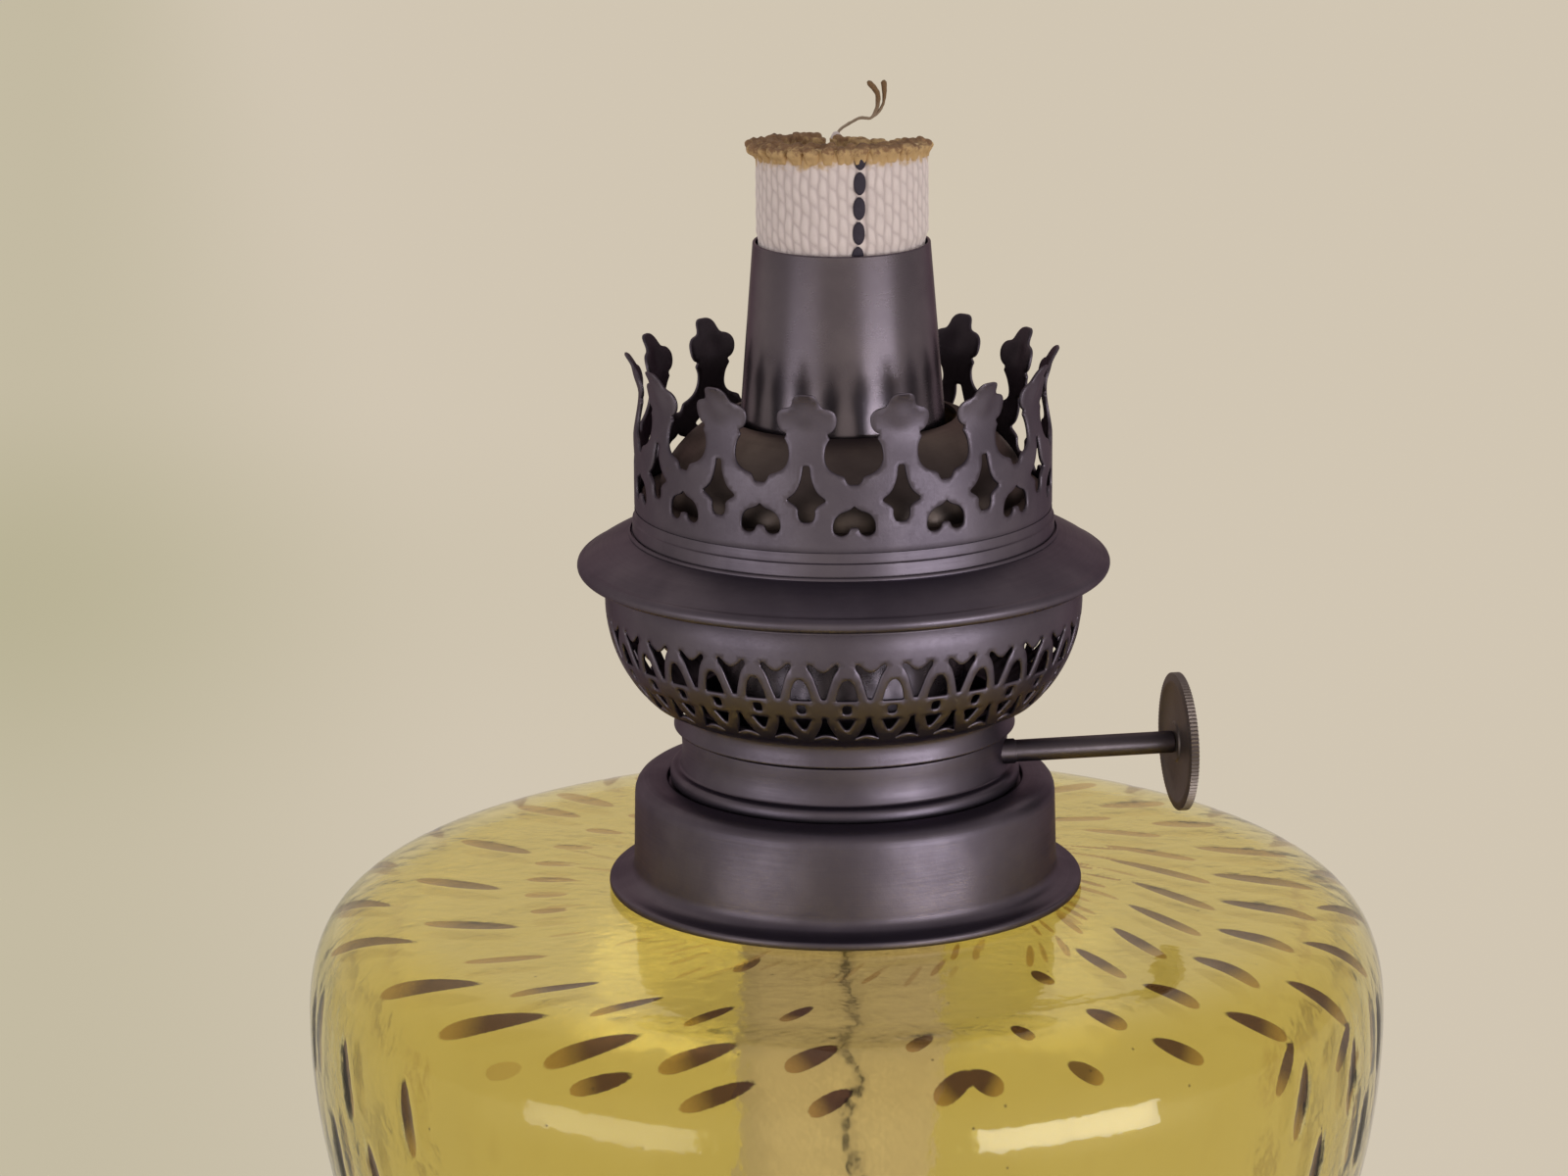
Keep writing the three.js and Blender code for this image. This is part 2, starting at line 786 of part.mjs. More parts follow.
// The pierced rows: one cell of the flat pattern, repeated round. place gives the outer and the
// inner point at a height share, and joined says which edges of the cell meet other sheet.
function piercedFaces(cells, outline, holes, place, joined) {
  const contours = [outline, ...holes.map((hole) => [...hole].reverse())];
  const points = contours.flat();
  const triangles = THREE.ShapeUtils.triangulateShape(outline, contours.slice(1));
  const faces = [];
  for (let k = 0; k < cells; k++) {
    const outer = points.map((p) => spot(place(p.y)[0], (k + p.x) / cells));
    const inner = points.map((p) => spot(place(p.y)[1], (k + p.x) / cells));
    for (const [a, b, c] of triangles) {
      faces.push(...outer[a], ...outer[b], ...outer[c]);
      faces.push(...inner[c], ...inner[b], ...inner[a]);
    }
    let start = 0;
    for (const contour of contours) {
      for (let i = 0; i < contour.length; i++) {
        const j = (i + 1) % contour.length;
        if (joined(contour[i], contour[j])) continue;
        const a = start + i;
        const b = start + j;
        faces.push(...outer[a], ...inner[a], ...inner[b]);
        faces.push(...outer[a], ...inner[b], ...outer[b]);
      }
      start += contour.length;
    }
  }
  return faces;
}

function onCellSide(a, b) {
  return Math.abs(a.x) === 0.5 && a.x === b.x;
}

function onStripEnd(a, b) {
  return a.y === b.y && (a.y === 0 || a.y === 1);
}

// Air basket: a bowl pierced with pointed rings, with open forks between them
function basketBelly(angle, depth) {
  const reach = bellyReach - depth;
  const drop = bellyDepth - depth;
  return at(basketRadius - bellyReach + reach * Math.cos(angle), basketBellyZ - drop * Math.sin(angle));
}

function belly(angle) {
  return [basketBelly(angle, 0), basketBelly(angle, sheet)];
}

function leaning(radius, z, lean) {
  return [at(radius, z), at(radius - sheet * Math.cos(lean), z + sheet * Math.sin(lean))];
}

function airBasket() {
  const above = [
    leaning(basketRadius + basketLipReach, basketLipZ, Math.PI / 3),
    leaning(basketRadius, basketLipZ - basketLipRise, Math.PI / 8),
    belly(0),
  ];
  const below = [
    belly(latticeAngle),
    belly((latticeAngle + coveAngle) / 2),
    belly(coveAngle),
    leaning(skirtRadius, galleryBase + skirtHeight, 0),
    leaning(skirtRadius, galleryBase, 0),
  ];
  const outline = mirrored([[0.5, 0], ...latticeEdgeShares, [0.5, 1]]);
  const holes = [archShares, dotShares, dropShares].map(mirrored);
  const place = (share) => belly(latticeAngle * (1 - share));
  const joined = (a, b) => onCellSide(a, b) || onStripEnd(a, b);
  return geometryOf([
    ...edgeFaces(above[0], basketCells, true),
    ...bandFaces(above, basketCells),
    ...piercedFaces(basketCells, outline, holes, place, joined),
    ...bandFaces(below, basketCells),
    ...edgeFaces(below.at(-1), basketCells, false),
  ]);
}

// Chimney crown: springy prongs over a pierced wall that holds the foot of the chimney
function crownSection(share) {
  const height = crownHeight * share;
  const prong = Math.max(height - crownWallHeight, 0) / (crownHeight - crownWallHeight);
  const lean = crownFlare * prong ** 3 - crownWaist * Math.sin(Math.PI * prong);
  const radius = crownRadius + lean;
  return [at(radius, crownBase + height), at(radius - sheet, crownBase + height)];
}

function chimneyCrown() {
  const foot = [
    [0.25, 0],
    [0.5, 0],
  ];
  const outline = [at(0, 0), ...mirrored([...foot, ...crownEdgeShares])];
  return geometryOf(piercedFaces(crownCells, outline, [mirrored(lozengeShares)], crownSection, onCellSide));
}

// Flange: a dished ring with fine steps under the crown and a rolled edge
function galleryFlange() {
  const steps = Array.from({ length: flangeSteps }, (_, i) => {
    const radius = crownRadius + flangeStep * i;
    const top = flangeTop - (flangeNeckHeight * i) / flangeSteps;
    return [at(radius, top), at(radius, top - flangeNeckHeight / flangeSteps + flangeStep)];
  }).flat();
  const rimX = flangeRadius - flangeRimRadius;
  const rim = new THREE.Path();
  rim.absarc(rimX, flangeRimZ, flangeRimRadius, Math.PI / 3, -Math.PI / 2, true);
  const neckFoot = at(crownRadius + flangeStep * flangeSteps, flangeTop - flangeNeckHeight);
  const halfway = neckFoot.clone().lerp(at(rimX, flangeRimZ + flangeRimRadius), 0.5);
  halfway.y -= flangeDish;
  const top = [...steps, neckFoot, halfway];
  const under = beside([neckFoot, halfway, at(rimX, flangeRimZ + flangeRimRadius)], -sheet).reverse();
  const bore = crownRadius - sheet;
  return turned([...top, ...rim.getPoints(2), ...under, at(bore, under.at(-1).y), at(bore, flangeTop)]);
}

// Flame dome: its rim is the seat of the chimney, its hole leaves air room round the wick tube
function flameDome() {
  const seat = at(domeSkirtRadius - domeSeatWidth, domeSeatZ);
  const top = domeSeatZ + domeRise;
  const hole = at(tubeRadiusAt(top) + domeClearance, top);
  const line = [
    at(domeSkirtRadius, domeSeatZ - domeSkirtHeight),
    at(domeSkirtRadius, domeSeatZ),
    seat,
    ...bend(seat, at(seat.x, domeSeatZ + domeRise / 2), at(hole.x + domeSeatWidth, top), hole, 4),
  ];
  return turned([...line, ...beside(line, sheet).reverse()]);
}

// Assembly
function piece(name, geometry, material) {
  const mesh = new THREE.Mesh(geometry, material);
  mesh.name = name;
  return mesh;
}

// A group that lies on the line of the spindle, with its own Z along +X.
function onSpindle(...pieces) {
  const group = new THREE.Group();
  group.rotation.y = Math.PI / 2;
  group.position.set(0, -spindleSetback, spindleZ);
  return group.add(...pieces);
}

function turnedBy(mesh, degrees) {
  mesh.rotation.z = THREE.MathUtils.degToRad(degrees);
  return mesh;
}

const font = new THREE.Group();
font.add(
  piece("base_pad", basePad(), felt),
  piece("foot_shell", footShell(), brass),
  piece("foot_filling", footFilling(), plaster),
  piece("font_glass", fontGlass(), amber),
  piece("collar_cement", collarCement(), plaster),
  piece("font_collar", fontCollar(), brass),
);

const spindle = onSpindle(
  piece("spindle_shaft", spindleShaft(), steel),
  piece("wick_wheel", wickWheel(), brass),
  piece("cog_wheel_left", cogWheel(-cogSpacing), innerBrass),
  piece("cog_wheel_middle", cogWheel(0), innerBrass),
  piece("cog_wheel_right", cogWheel(cogSpacing), innerBrass),
);

const bearings = onSpindle(
  piece("spindle_gland", spindleGland(), brass),
  piece("spindle_end_bush", spindleEndBush(), innerBrass),
);

const gallery = new THREE.Group();
gallery.add(
  turnedBy(piece("air_basket", airBasket(), brass), latticeTurn),
  piece("gallery_flange", galleryFlange(), brass),
  turnedBy(piece("chimney_crown", chimneyCrown(), brass), crownTurn),
  piece("flame_dome", flameDome(), innerBrass),
);

const burner = new THREE.Group();
burner.add(
  piece("burner_body", burnerBody(), brass),
  piece("burner_base_plate", basePlate(), innerBrass),
  piece("outer_wick_tube", outerWickTube(), brass),
  piece("inner_draught_tube", innerDraughtTube(), innerBrass),
  piece("wick_backing_plate", wickBackingPlate(), innerBrass),
  piece("wick", wickBand(), cotton),
  bearings,
  spindle,
  gallery,
);

const lamp = new THREE.Group();
lamp.add(font, burner);
export default lamp;
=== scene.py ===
# Looks of a table oil lamp: a dimpled amber glass font under a blackened brass burner with a
# pierced air basket, a chimney crown and a round woven wick. Profiles are in millimetres, as
# (radius, height) pairs. Angles round the lamp are measured from -Y towards +X.
import math
import random

import bmesh
import bpy
from mathutils import Matrix, Vector, noise
from mathutils.geometry import delaunay_2d_cdt


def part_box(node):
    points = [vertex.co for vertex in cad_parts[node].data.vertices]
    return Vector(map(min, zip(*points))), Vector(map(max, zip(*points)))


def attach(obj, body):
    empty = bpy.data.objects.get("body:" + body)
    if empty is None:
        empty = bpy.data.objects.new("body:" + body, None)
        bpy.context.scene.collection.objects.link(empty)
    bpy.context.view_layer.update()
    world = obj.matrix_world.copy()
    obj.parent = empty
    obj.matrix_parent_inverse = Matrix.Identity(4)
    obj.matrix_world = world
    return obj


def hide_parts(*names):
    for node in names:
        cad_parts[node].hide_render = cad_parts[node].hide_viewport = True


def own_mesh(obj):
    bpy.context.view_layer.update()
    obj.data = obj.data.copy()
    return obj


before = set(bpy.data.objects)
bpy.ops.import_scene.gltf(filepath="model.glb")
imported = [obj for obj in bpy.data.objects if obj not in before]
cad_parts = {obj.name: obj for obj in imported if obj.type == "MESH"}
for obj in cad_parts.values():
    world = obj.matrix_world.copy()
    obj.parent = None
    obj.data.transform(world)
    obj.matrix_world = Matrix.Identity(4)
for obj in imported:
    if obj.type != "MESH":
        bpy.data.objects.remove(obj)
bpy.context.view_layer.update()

MM = 0.001


def extent(node):
    low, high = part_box(node)
    return low / MM, high / MM


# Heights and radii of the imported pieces, in millimetres
PAD_LOW, PAD_HIGH = extent("base_pad")
FOOT_LOW, FOOT_HIGH = extent("foot_shell")
FONT_LOW, FONT_HIGH = extent("font_glass")
COLLAR_HIGH = extent("font_collar")[1]
BODY_LOW, BODY_HIGH = extent("burner_body")
TUBE_LOW, TUBE_HIGH = extent("outer_wick_tube")
BASKET_LOW, BASKET_HIGH = extent("air_basket")
FLANGE_LOW, FLANGE_HIGH = extent("gallery_flange")
CROWN_LOW, CROWN_HIGH = extent("chimney_crown")
DOME_LOW, DOME_HIGH = extent("flame_dome")
WICK_LOW, WICK_HIGH = extent("wick")
WHEEL_LOW, WHEEL_HIGH = extent("wick_wheel")
SHAFT_LOW, SHAFT_HIGH = extent("spindle_shaft")
GLAND_LOW, GLAND_HIGH = extent("spindle_gland")

SHEET = 0.5
EDGE_ROUND = 0.13
WELD = 0.004
SPINDLE_Y = (SHAFT_LOW.y + SHAFT_HIGH.y) / 2
SPINDLE_Z = (SHAFT_LOW.z + SHAFT_HIGH.z) / 2


# Camera: the photograph looks down at the lamp from a little to its left
CAMERA_YAW = math.radians(-10)
CAMERA_TILT = math.radians(90 - 14.33)
CAMERA_ROLL = math.radians(-0.5)
CAMERA_PLACE = Vector((-125.4, -666.6, 323.4)) * MM
CAMERA_LENS = 123.75
CAMERA_SENSOR = 36


def make_camera():
    data = bpy.data.cameras.new("photo_camera")
    data.lens = CAMERA_LENS
    data.sensor_width = CAMERA_SENSOR
    camera = bpy.data.objects.new("photo_camera", data)
    bpy.context.scene.collection.objects.link(camera)
    turn = Matrix.Rotation(CAMERA_YAW, 4, "Z") @ Matrix.Rotation(CAMERA_TILT, 4, "X")
    turn = turn @ Matrix.Rotation(CAMERA_ROLL, 4, "Z")
    camera.matrix_world = Matrix.Translation(CAMERA_PLACE) @ turn
    bpy.context.scene.camera = camera


# Node trees of materials and of the world
class Nodes:
    """An emptied node tree with helpers that add nodes and return their output sockets."""

    def __init__(self, tree):
        self.tree = tree
        self.tree.nodes.clear()

    def feed(self, socket, value):
        if isinstance(value, bpy.types.NodeSocket):
            self.tree.links.new(value, socket)
        elif socket.type == "RGBA":
            socket.default_value = (*value, 1)
        else:
            socket.default_value = value

    def node(self, kind, *values, **settings):
        made = self.tree.nodes.new(kind)
        for name, value in settings.items():
            setattr(made, name, value)
        for socket, value in zip(made.inputs, values):
            if value is not None:
                self.feed(socket, value)
        return made

    def math(self, operation, *values):
        return self.node("ShaderNodeMath", *values, operation=operation).outputs[0]

    def vector(self, x, y, z):
        return self.node("ShaderNodeCombineXYZ", x, y, z).outputs[0]

    def place(self):
        """Object coordinates in millimetres."""
        inside = self.node("ShaderNodeTexCoord").outputs["Object"]
        made = self.node("ShaderNodeVectorMath", inside, operation="SCALE")
        made.inputs["Scale"].default_value = 1 / MM
        return made.outputs[0]

    def split(self, vector):
        return self.node("ShaderNodeSeparateXYZ", vector).outputs

    def noise(self, vector, scale, detail=2.0, roughness=0.5):
        made = self.node("ShaderNodeTexNoise")
        self.feed(made.inputs["Vector"], vector)
        made.inputs["Scale"].default_value = scale
        made.inputs["Detail"].default_value = detail
        made.inputs["Roughness"].default_value = roughness
        return made.outputs[0]

    def cells(self, vector, scale):
        made = self.node("ShaderNodeTexVoronoi")
        self.feed(made.inputs["Vector"], vector)
        made.inputs["Scale"].default_value = scale
        return made.outputs["Distance"]

    def ramp(self, value, low, high, to_low=0.0, to_high=1.0, smooth=True):
        made = self.node("ShaderNodeMapRange", value, low, high, to_low, to_high)
        made.interpolation_type = "SMOOTHSTEP" if smooth else "LINEAR"
        return made.outputs[0]

    def mix(self, share, first, second):
        made = self.node("ShaderNodeMix", data_type="RGBA")
        self.feed(made.inputs["Factor"], share)
        colours = [s for s in made.inputs if s.type == "RGBA"]
        self.feed(colours[0], first)
        self.feed(colours[1], second)
        return [s for s in made.outputs if s.type == "RGBA"][0]

    def attribute(self, name):
        return self.node("ShaderNodeAttribute", attribute_name=name).outputs["Fac"]

    def bump(self, height, distance, strength=1.0, below=None):
        made = self.node("ShaderNodeBump")
        self.feed(made.inputs["Strength"], strength)
        self.feed(made.inputs["Distance"], distance * MM)
        self.feed(made.inputs["Height"], height)
        if below is not None:
            self.feed(made.inputs["Normal"], below)
        return made.outputs[0]

    def seen(self):
        """1 where the camera sees a surface by itself, mirrored or through glass."""
        path = self.node("ShaderNodeLightPath").outputs
        direct = self.math("MAXIMUM", path["Is Camera Ray"], path["Is Glossy Ray"])
        return self.math("MAXIMUM", direct, path["Is Transmission Ray"])


class Shader(Nodes):
    """The nodes of a new material, around its principled shader."""

    def __init__(self, name):
        self.material = bpy.data.materials.new(name)
        self.material.use_nodes = True
        super().__init__(self.material.node_tree)
        self.output = self.tree.nodes.new("ShaderNodeOutputMaterial")
        self.principled = self.tree.nodes.new("ShaderNodeBsdfPrincipled")
        self.surface(self.principled.outputs["BSDF"])

    def surface(self, socket):
        self.tree.links.new(socket, self.output.inputs["Surface"])

    def set(self, **values):
        for name, value in values.items():
            self.feed(self.principled.inputs[name.replace("_", " ")], value)


def turned_grain(s, place):
    """Fine rings left by spinning and polishing: they change with radius and height only."""
    x, y, z = s.split(place)
    radius = s.math("SQRT", s.math("ADD", s.math("MULTIPLY", x, x), s.math("MULTIPLY", y, y)))
    return s.noise(s.vector(radius, s.math("MULTIPLY", x, 0.03), z), 3.2, 3.0, 0.65)


RELIEF = 0.30


def metal(name, dark, pale, worn, rough, grain=RELIEF):
    """Dull blackened metal: faint clouds, rubbed rims and speckle. grain is the strength of the rings
    left by spinning, and 0 leaves them out."""
    s = Shader(name)
    place = s.place()
    clouds = s.noise(place, 0.11, 4.0, 0.55)
    speckle = s.noise(place, 2.6, 3.0, 0.7)
    tone = s.mix(s.ramp(clouds, 0.30, 0.72), dark, pale)
    tone = s.mix(s.ramp(speckle, 0.62, 0.82, 0.0, 0.22), tone, pale)
    edge = s.attribute("edge")
    patches = s.ramp(s.noise(place, 0.5, 3.0), 0.40, 0.70, 0.05, 0.60)
    rub = s.math("MULTIPLY", s.ramp(edge, 0.0, 1.0), patches)
    tone = s.mix(rub, tone, worn)
    tone = s.mix(s.ramp(edge, -1.0, 0.0, 0.62, 0.0), tone, SOOT)
    rings = turned_grain(s, place) if grain else speckle
    s.set(Base_Color=tone, Metallic=1.0, Specular_Tint=EDGE_TINT)
    even = s.ramp(clouds, 0.3, 0.7, rough + RELIEF / 10, rough - RELIEF / 10)
    relief = grain or RELIEF
    swing = relief / 10
    s.set(Roughness=s.math("ADD", even, s.ramp(rings, 0.3, 0.7, -swing, swing)))
    fine = s.bump(speckle, 0.03, relief)
    s.set(Normal=s.bump(rings, 0.035, relief, fine))
    return s.material


SOOT = (0.030, 0.022, 0.025)
EDGE_TINT = (0.42, 0.36, 0.40)
BRASS_DARK = (0.134, 0.117, 0.154)
BRASS_PALE = (0.172, 0.152, 0.196)
BRASS_WORN = (0.32, 0.28, 0.29)
INNER_DARK = (0.120, 0.098, 0.096)
INNER_PALE = (0.172, 0.143, 0.138)
INNER_WORN = (0.24, 0.19, 0.14)
TUBE_DARK = (0.152, 0.132, 0.166)
TUBE_PALE = (0.200, 0.176, 0.216)
STEEL_DARK = (0.118, 0.102, 0.122)
STEEL_PALE = (0.160, 0.140, 0.158)
WHEEL_DARK = (0.25, 0.215, 0.205)
WHEEL_PALE = (0.32, 0.28, 0.27)


def make_materials():
    return {
        "brass": metal("blackened_brass", BRASS_DARK, BRASS_PALE, BRASS_WORN, 0.43),
        "tube": metal("burnished_brass", TUBE_DARK, TUBE_PALE, BRASS_WORN, 0.265, 0.05),
        "sheet": metal("blackened_brass_sheet", BRASS_DARK, BRASS_PALE, BRASS_WORN, 0.40, 0),
        "crown": metal("blackened_crown_sheet", BRASS_DARK, BRASS_PALE, BRASS_WORN, 0.47, 0),
        "inner": metal("inner_brass", INNER_DARK, INNER_PALE, INNER_WORN, 0.44),
        "steel": metal("spindle_steel", STEEL_DARK, STEEL_PALE, BRASS_WORN, 0.40, 0),
        "wheel": metal("dull_brass", WHEEL_DARK, WHEEL_PALE, BRASS_WORN, 0.52, 0),
        "glass": amber_glass(),
        "cotton": wick_cotton(),
        "singed": singed_cotton(),
        "thread": loose_cotton(),
        "loop": pale_cotton(),
        "marker": marker_yarn(),
        "plaster": plaster(),
        "felt": felt(),
    }


GLASS_PALE = (0.93, 0.840, 0.410)
GLASS_DEEP = (0.90, 0.810, 0.350)
# Tints of the painted shade in the dimples; the dark one also darkens the seeds in the glass
LEAF_SHADE_AND_SEED_DARK = (0.030, 0.011, 0.011)
PAINTED_LEAF_AMBER = (0.52, 0.29, 0.070)
GLASS_ROUGHNESS = 0.05
INSIDE_ROUGHNESS = 0.10
GLASS_IOR = 1.45
SHADOW_CLEARING = 0.75


def amber_glass():
    """Clear amber glass, with painted shade in the dimples: dark brown at their inner end, amber outwards.
    """
    s = Shader("amber_glass")
    place = s.place()
    shade = s.attribute("dimple_shade")
    # Painted shade: in a dimple the glass tint turns dark brown at its inner end and amber outwards, in
    # place of the darkening by refraction
    core = s.math("MULTIPLY", s.ramp(s.attribute("dimple"), 0.0, 0.25), s.ramp(shade, 0.0, 0.45))
    inner_end = s.ramp(s.attribute("dimple_run"), 0.0, 1.0, 1.0, 0.25)
    dark_shade_share = s.math("MULTIPLY", inner_end, s.ramp(shade, 0.2, 0.9))
    leaf = s.mix(dark_shade_share, PAINTED_LEAF_AMBER, LEAF_SHADE_AND_SEED_DARK)
    tint = s.mix(s.noise(place, 0.03, 2.0), GLASS_PALE, GLASS_DEEP)
    tint = s.mix(core, tint, leaf)
    seeds = s.ramp(s.cells(place, 0.16), 0.02, 0.045, 0.75, 0.0)
    tint = s.mix(seeds, tint, LEAF_SHADE_AND_SEED_DARK)
    rough = s.ramp(s.attribute("inside"), 0.0, 1.0, GLASS_ROUGHNESS, INSIDE_ROUGHNESS)
    s.set(Base_Color=tint, Roughness=rough, IOR=GLASS_IOR, Transmission_Weight=1.0)
    ripple = s.noise(place, 0.09, 2.0, 0.4)
    s.set(Normal=s.bump(s.noise(place, 0.32, 2.0, 0.5), 0.22, 0.25, s.bump(ripple, 0.6, 0.22)))
    path = s.node("ShaderNodeLightPath")
    passing = s.math("MAXIMUM", path.outputs["Is Shadow Ray"], path.outputs["Is Diffuse Ray"])
    clear = s.node("ShaderNodeBsdfTransparent")
    s.feed(clear.inputs["Color"], s.mix(SHADOW_CLEARING, tint, (1.0, 1.0, 1.0)))
    both = s.node("ShaderNodeMixShader", passing, s.principled.outputs["BSDF"], clear.outputs[0])
    s.surface(both.outputs[0])
    return s.material


COTTON_GAP_SHADE = (0.60, 0.50, 0.50)
COTTON_YARN = (0.80, 0.69, 0.68)
COTTON_SOILED = (0.66, 0.56, 0.56)
COTTON_TAN = (0.56, 0.37, 0.18)
COTTON_BROWN = (0.27, 0.15, 0.078)
COTTON_CHARRED = (0.13, 0.070, 0.042)
THREAD_FOOT = (0.42, 0.33, 0.25)
THREAD_TIP = (0.20, 0.115, 0.055)
THREAD_FADE = 5.0
TAN_START, TAN_FULL = -3.9, -2.8
BROWN_START, BROWN_FULL, CHARRED_FULL = -2.1, -0.9, 0.6
MARKER_DARK = (0.022, 0.017, 0.032)
MARKER_PALE = (0.048, 0.037, 0.060)
PLASTER_DARK = (0.44, 0.38, 0.27)
PLASTER_PALE = (0.62, 0.56, 0.43)
FELT_DARK = (0.020, 0.030, 0.018)
FELT_PALE = (0.045, 0.060, 0.038)


def cut_height(s, place, z):
    """Height measured from the slanting top of the wick."""
    slant = s.math("MULTIPLY", s.split(place)[1], WICK_SLANT / WICK_ROUND_RADIUS)
    return s.math("SUBTRACT", s.math("ADD", z, slant), WICK_RISE)


def wick_cotton():
    s = Shader("wick_cotton")
    place = s.place()
    z = s.split(place)[2]
    wear = s.noise(place, 0.35, 4.0, 0.6)
    # Painted shade in the gaps of the weave: darker where the yarn sinks, the yarn's own tone on its backs
    tone = s.mix(s.ramp(s.attribute("yarn"), 0.0, 0.9), COTTON_GAP_SHADE, COTTON_YARN)
    tone = s.mix(s.ramp(wear, 0.40, 0.75, 0.0, 0.55), tone, COTTON_SOILED)
    line = s.math("ADD", z, s.ramp(s.noise(place, 0.8, 2.0), 0.3, 0.7, -0.5, 0.5))
    singe = s.ramp(cut_height(s, place, line), WICK_HIGH.z + TAN_START, WICK_HIGH.z + TAN_FULL)
    tone = s.mix(singe, tone, COTTON_TAN)
    s.set(Base_Color=tone, Roughness=0.92, Sheen_Weight=0.2, Sheen_Roughness=0.6)
    s.set(Normal=s.bump(s.noise(place, 5.5, 4.0, 0.7), 0.10, 0.5))
    return s.material


def singed_cotton():
    """The scorched top of the wick: tan at its foot, brown to charred on its crest."""
    s = Shader("singed_cotton")
    place = s.place()
    z = s.split(place)[2]
    patchy = s.noise(place, 0.9, 4.0, 0.65)
    line = cut_height(s, place, s.math("ADD", z, s.ramp(patchy, 0.25, 0.75, -0.9, 0.9)))
    brown = WICK_HIGH.z + BROWN_FULL
    tone = s.mix(s.ramp(line, WICK_HIGH.z + BROWN_START, brown), COTTON_TAN, COTTON_BROWN)
    tone = s.mix(s.ramp(line, brown, WICK_HIGH.z + CHARRED_FULL), tone, COTTON_CHARRED)
    s.set(Base_Color=tone, Roughness=0.95)
    s.set(Normal=s.bump(s.noise(place, 4.5, 4.0, 0.7), 0.12, 0.6))
    return s.material


def loose_cotton():
    """A loose thread, pale at its foot and scorched towards its tips."""
    s = Shader("loose_cotton")
    place = s.place()
    z = s.split(place)[2]
    tone = s.mix(s.ramp(z, WICK_HIGH.z, WICK_HIGH.z + THREAD_FADE), THREAD_FOOT, THREAD_TIP)
    s.set(Base_Color=tone, Roughness=0.95)
    s.set(Normal=s.bump(s.noise(place, 6.0, 3.0, 0.7), 0.06, 0.5))
    return s.material


def pale_cotton():
    s = Shader("pale_cotton")
    s.set(Base_Color=COTTON_YARN, Roughness=0.92)
    s.set(Normal=s.bump(s.noise(s.place(), 5.5, 3.0, 0.7), 0.08, 0.5))
    return s.material


def matt(name, grain, dark, pale, roughness, relief_grain, relief, **more):
    """A matt material of two tones. The grains are the scale, detail and roughness of the noise for
    the tones and for the relief, and relief is its depth and strength."""
    s = Shader(name)
    place = s.place()
    s.set(Base_Color=s.mix(s.noise(place, *grain), dark, pale), Roughness=roughness, **more)
    s.set(Normal=s.bump(s.noise(place, *relief_grain), *relief))
    return s.material


def marker_yarn():
    return matt("marker_yarn", (1.6, 3.0), MARKER_DARK, MARKER_PALE, 0.8, (7.0, 2.0), (0.06, 0.5))


def plaster():
    return matt("plaster", (0.4, 5.0, 0.6), PLASTER_DARK, PLASTER_PALE, 0.9, (1.5, 4.0, 0.7), (0.3, 0.5))


def felt():
    sheen = {"Sheen_Weight": 0.3, "Sheen_Roughness": 0.7}
    grain, relief_grain = (1.2, 4.0, 0.7), (4.0, 4.0, 0.8)
    return matt("base_felt", grain, FELT_DARK, FELT_PALE, 1.0, relief_grain, (0.25, 0.8), **sheen)


# Lines and profiles
def bend(start, towards, back, end, steps):
    """Points of a cubic curve without its first point."""
    points = []
    for i in range(1, steps + 1):
        t = i / steps
        u = 1 - t
        weights = (u * u * u, 3 * u * u * t, 3 * u * t * t, t * t * t)
        corners = (start, towards, back, end)
        points.append(tuple(sum(w * c[k] for w, c in zip(weights, corners)) for k in (0, 1)))
    return points


def beside(line, distance):
    """The line that runs beside another at one distance, to the left of its direction."""
    points = []
    for i, here in enumerate(line):
        before = Vector(line[max(i - 1, 0)])
        after = Vector(line[min(i + 1, len(line) - 1)])
        into = (Vector(here) - before).normalized()
        out = (after - Vector(here)).normalized()
        first = out if i == 0 else into
        last = into if i == len(line) - 1 else out
        mean = (first + last).normalized()
        stretch = distance / max(mean.dot(last), math.sqrt(0.5))
        points.append((here[0] - mean.y * stretch, here[1] + mean.x * stretch))
    return points


def softened(points, closed=True, steps=4):
    """A line with its corners rounded. A point is (x, y) for a sharp corner, or (x, y, reach), where
    the curve starts that far from the corner, or at half of a shorter side."""
    line = []
    count = len(points)
    for i, point in enumerate(points):
        here = Vector(point[:2])
        inner = closed or 0 < i < count - 1
        if len(point) < 3 or not inner:
            line.append(tuple(here))
            continue
        ends = []
        for other in (points[i - 1], points[(i + 1) % count]):
            side = Vector(other[:2]) - here
            ends.append(here + side.normalized() * min(point[2], side.length / 2))
        for k in range(steps + 1):
            t = k / steps
            line.append(tuple(ends[0] * (1 - t) ** 2 + here * 2 * t * (1 - t) + ends[1] * t * t))
    return [p for i, p in enumerate(line) if i == 0 or (Vector(p) - Vector(line[i - 1])).length > 1e-4]


def smooth_step(t):
    s = min(max(t, 0.0), 1.0)
    return s * s * (3 - 2 * s)


def mix(a, b, t):
    return a + (b - a) * t


def around(radius, angle, z):
    return Vector((radius * math.sin(angle), -radius * math.cos(angle), z))


